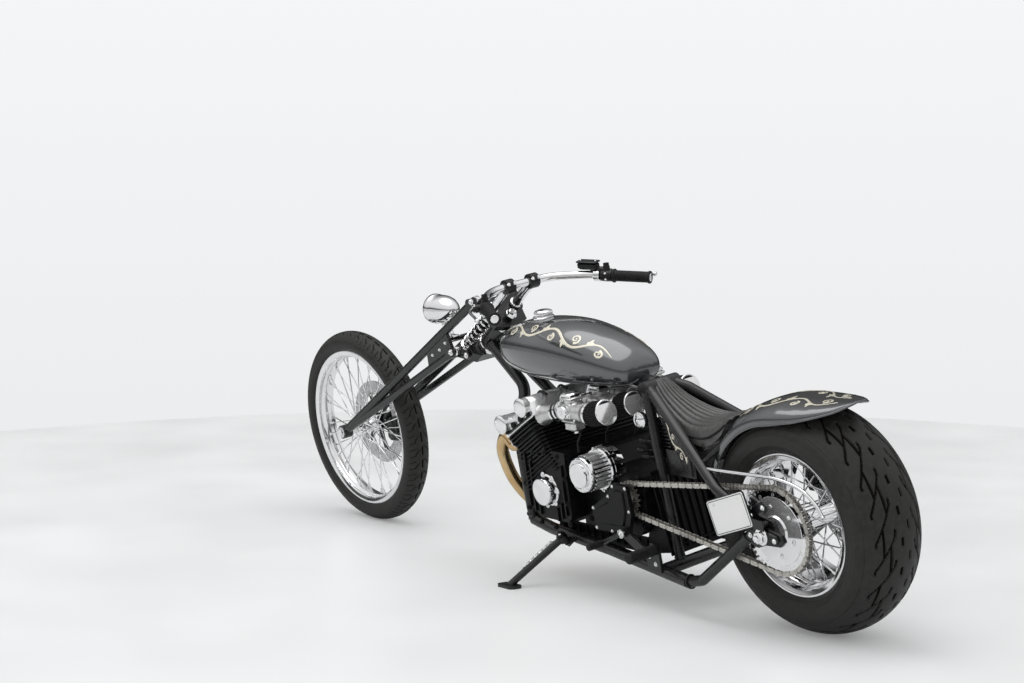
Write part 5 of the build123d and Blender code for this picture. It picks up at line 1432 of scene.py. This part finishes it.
def makeStandSpring():
    pivot, axis = Vector(stand["pivot"]), Vector(stand["axis"]).normalized()
    leg = (Vector(stand["foot"]) - pivot).normalized()
    off = leg.cross(axis).normalized()
    off = off if off.x > 0 else -off

    def spot(along, out):
        return pivot + leg * along + off * out

    part = PartMesh()
    line = [spot(22, 12), spot(28, 20)]
    steps = stand["turns"] * 12
    for k in range(steps + 1):
        a = 2 * pi * k / 12
        middle = spot(34, 22).lerp(spot(138, 20), k / steps)
        line.append(middle + (off * cos(a) + axis * sin(a)) * stand["coil"])
    part.tube(line + [spot(144, 18), spot(152, 10)], stand["wire"], 6)
    for way in (axis, -axis):
        part.bolt(pivot + way * 12, way, 14, dome=True)
    part.turned(spot(150, 0), off, [(0, 5), (16, 5), (17, 7), (20, 7), (21, 4)], 14)
    makePiece(part, "standSpring", "brightChrome", body="side_stand")


makeStandSpring()

# weld beads where the frame's tubes meet: place, direction of the tube, its radius
# those off the middle are paired
welds = (((1372, 0, 740), (1, 0, 0.12), 23), ((628, 0, 650), (1, 0, 0.12), 23),
         ((1412, 22, 722), (0.8, -0.06, 0.6), 20), ((606, 46, 651), (0.9, -0.38, 0.3), 17),
         ((594, 64, 616), (0.22, -0.08, 0.97), 15), ((490, 102, 166), (0.22, -0.08, 0.97), 15),
         ((82, 187, 374), (0.87, 0, 0.45), 17), ((80, 187, 317), (0.8, 0, -0.6), 17),
         ((352, 187, 138), (0.9, 0, -0.2), 19), ((1150, 132, 214), (-0.19, 0.08, 0.98), 20))


def makeWelds():
    part = PartMesh()
    for (x, y, z), (dx, dy, dz), r in welds:
        for sign in (1, -1) if y else (1,):
            way = Vector((dx, sign * dy, dz)).normalized()
            side = way.orthogonal().normalized()
            up = way.cross(side)
            ring = [Vector((x, sign * y, z)) + (side * c + up * s) * (r + 0.4) for c, s in circle(48)]
            part.tube(ring, [2.3, 3.1] * 24, 8, closed=True)
    makePiece(part, "frameWelds", "frameSatin")


makeWelds()

# electrics between the posts under the seat: finned box, horn, loom and three plugs
electrics = {"place": (548, 0, 508), "size": (78, 116, 118), "fins": 9, "wires": 5,
             "tray": (508, 0, 456), "traySize": (90, 110, 26), "horn": (614, 92, 563),
             "plugs": ((604, 500), (618, 470), (596, 452)), "plugY": 84}


def makeElectrics():
    part = PartMesh()
    x, y, z = electrics["place"]
    a, b, c = electrics["size"]
    part.block((x, y, z), (a, b, c), 6)
    for k in range(electrics["fins"]):
        for side in (1, -1):
            part.block((x, side * (b / 2 + 3), z - 44 + k * 11), (a - 14, 10, 4), 1.4)
    part.block(electrics["tray"], electrics["traySize"], 5)
    horn = Vector(electrics["horn"])
    part.turned(horn, leftSide, [(-22, 8), (-21, 18), (-14, 24), (-4, 25), (-2, 24)], 40)
    part.turned(horn, leftSide, [(-4, 25.5), (1, 25.5), (3, 23), (2, 20), (5, 16), (9, 8), (10, 2)], 40, 1)
    part.tube([horn - leftSide * 14, (596, 76, 575), (584, 70, 572)], 5, 10)
    part.bolt(horn + leftSide * 9, leftSide, 7, 1, True)
    for k in range(electrics["wires"]):
        y0 = 34 + k * 7
        loom = [(586 + k, y0, 560 - k * 8), (612, y0 + 16, 530 - k * 10), (626 - k * 5, y0 + 22, 480),
                (606, y0 + 10, 440), (560, y0 + 12, 420)]
        part.tube(smoothLine(loom, 6), 3.4, 8, 2)
    for px, pz in electrics["plugs"]:
        plug = (px, electrics["plugY"], pz)
        part.turned(plug, (0.6, 0.7, 0.2), [(0, 6), (2, 8), (14, 8), (16, 6), (22, 5), (23, 3)], 18)
        part.tube([plug, (px - 20, 60, pz - 4), (px - 44, 50, pz)], 5, 8)
    makePiece(part, "electricsBox", "controlBlack brightChrome softRubber")


makeElectrics()

# painted shade: a ribbed dark sheet behind the gearbox and a dark sheet by the side of the sump, filling
# gaps where only shade shows
shadeSheets = {"low": 170.0, "high": 420.0, "half": 122.0, "lean": 0.231, "foot": 505.0, "ribs": 9,
           "sumpY": (98, 105), "sumpRibs": 12, "ribFrom": 630, "ribStep": 36,
           "sump": ((514, 174), (640, 152), (1040, 158), (1062, 176), (1056, 204), (622, 204), (590, 300),
                    (546, 300))}


def makeShadeSheets():
    spec = shadeSheets
    half = spec["half"]
    part = PartMesh()
    up, back = Vector((spec["lean"], 0, 1)).normalized(), Vector((-1, 0, spec["lean"])).normalized()
    ways = (back, leftSide, up)
    tall = (spec["high"] - spec["low"]) / up.z
    middle = Vector((spec["foot"], 0, spec["low"])) + up * tall / 2
    part.block(middle, (5, 2 * half, tall), 2, ways)
    for k in range(spec["ribs"]):
        y = half * 0.86 * (2 * k / (spec["ribs"] - 1) - 1)
        part.block(middle + leftSide * y + back * 6, (9, 6, tall - 26), 2, ways)
    for z in (-0.4, 0.4):
        part.block(middle + up * tall * z + back * 5, (7, 2 * half - 20, 8), 2, ways)
        for side in (1, -1):
            part.bolt(middle + leftSide * side * (half - 9) + up * tall * z * 1.05 + back * 2.5, back, 9)
    part.plate(spec["sump"], *spec["sumpY"], 2)
    for k in range(spec["sumpRibs"]):
        x = spec["ribFrom"] + k * spec["ribStep"]
        part.plate(((x - 3, 166), (x + 3, 166), (x + 3, 200), (x - 3, 200)), 104, 110)
    # dark sheets that stand in for the shade under the bike
    makePiece(part, "paintedShadeSheets", "engineBlack")


makeShadeSheets()
print("small fittings done")
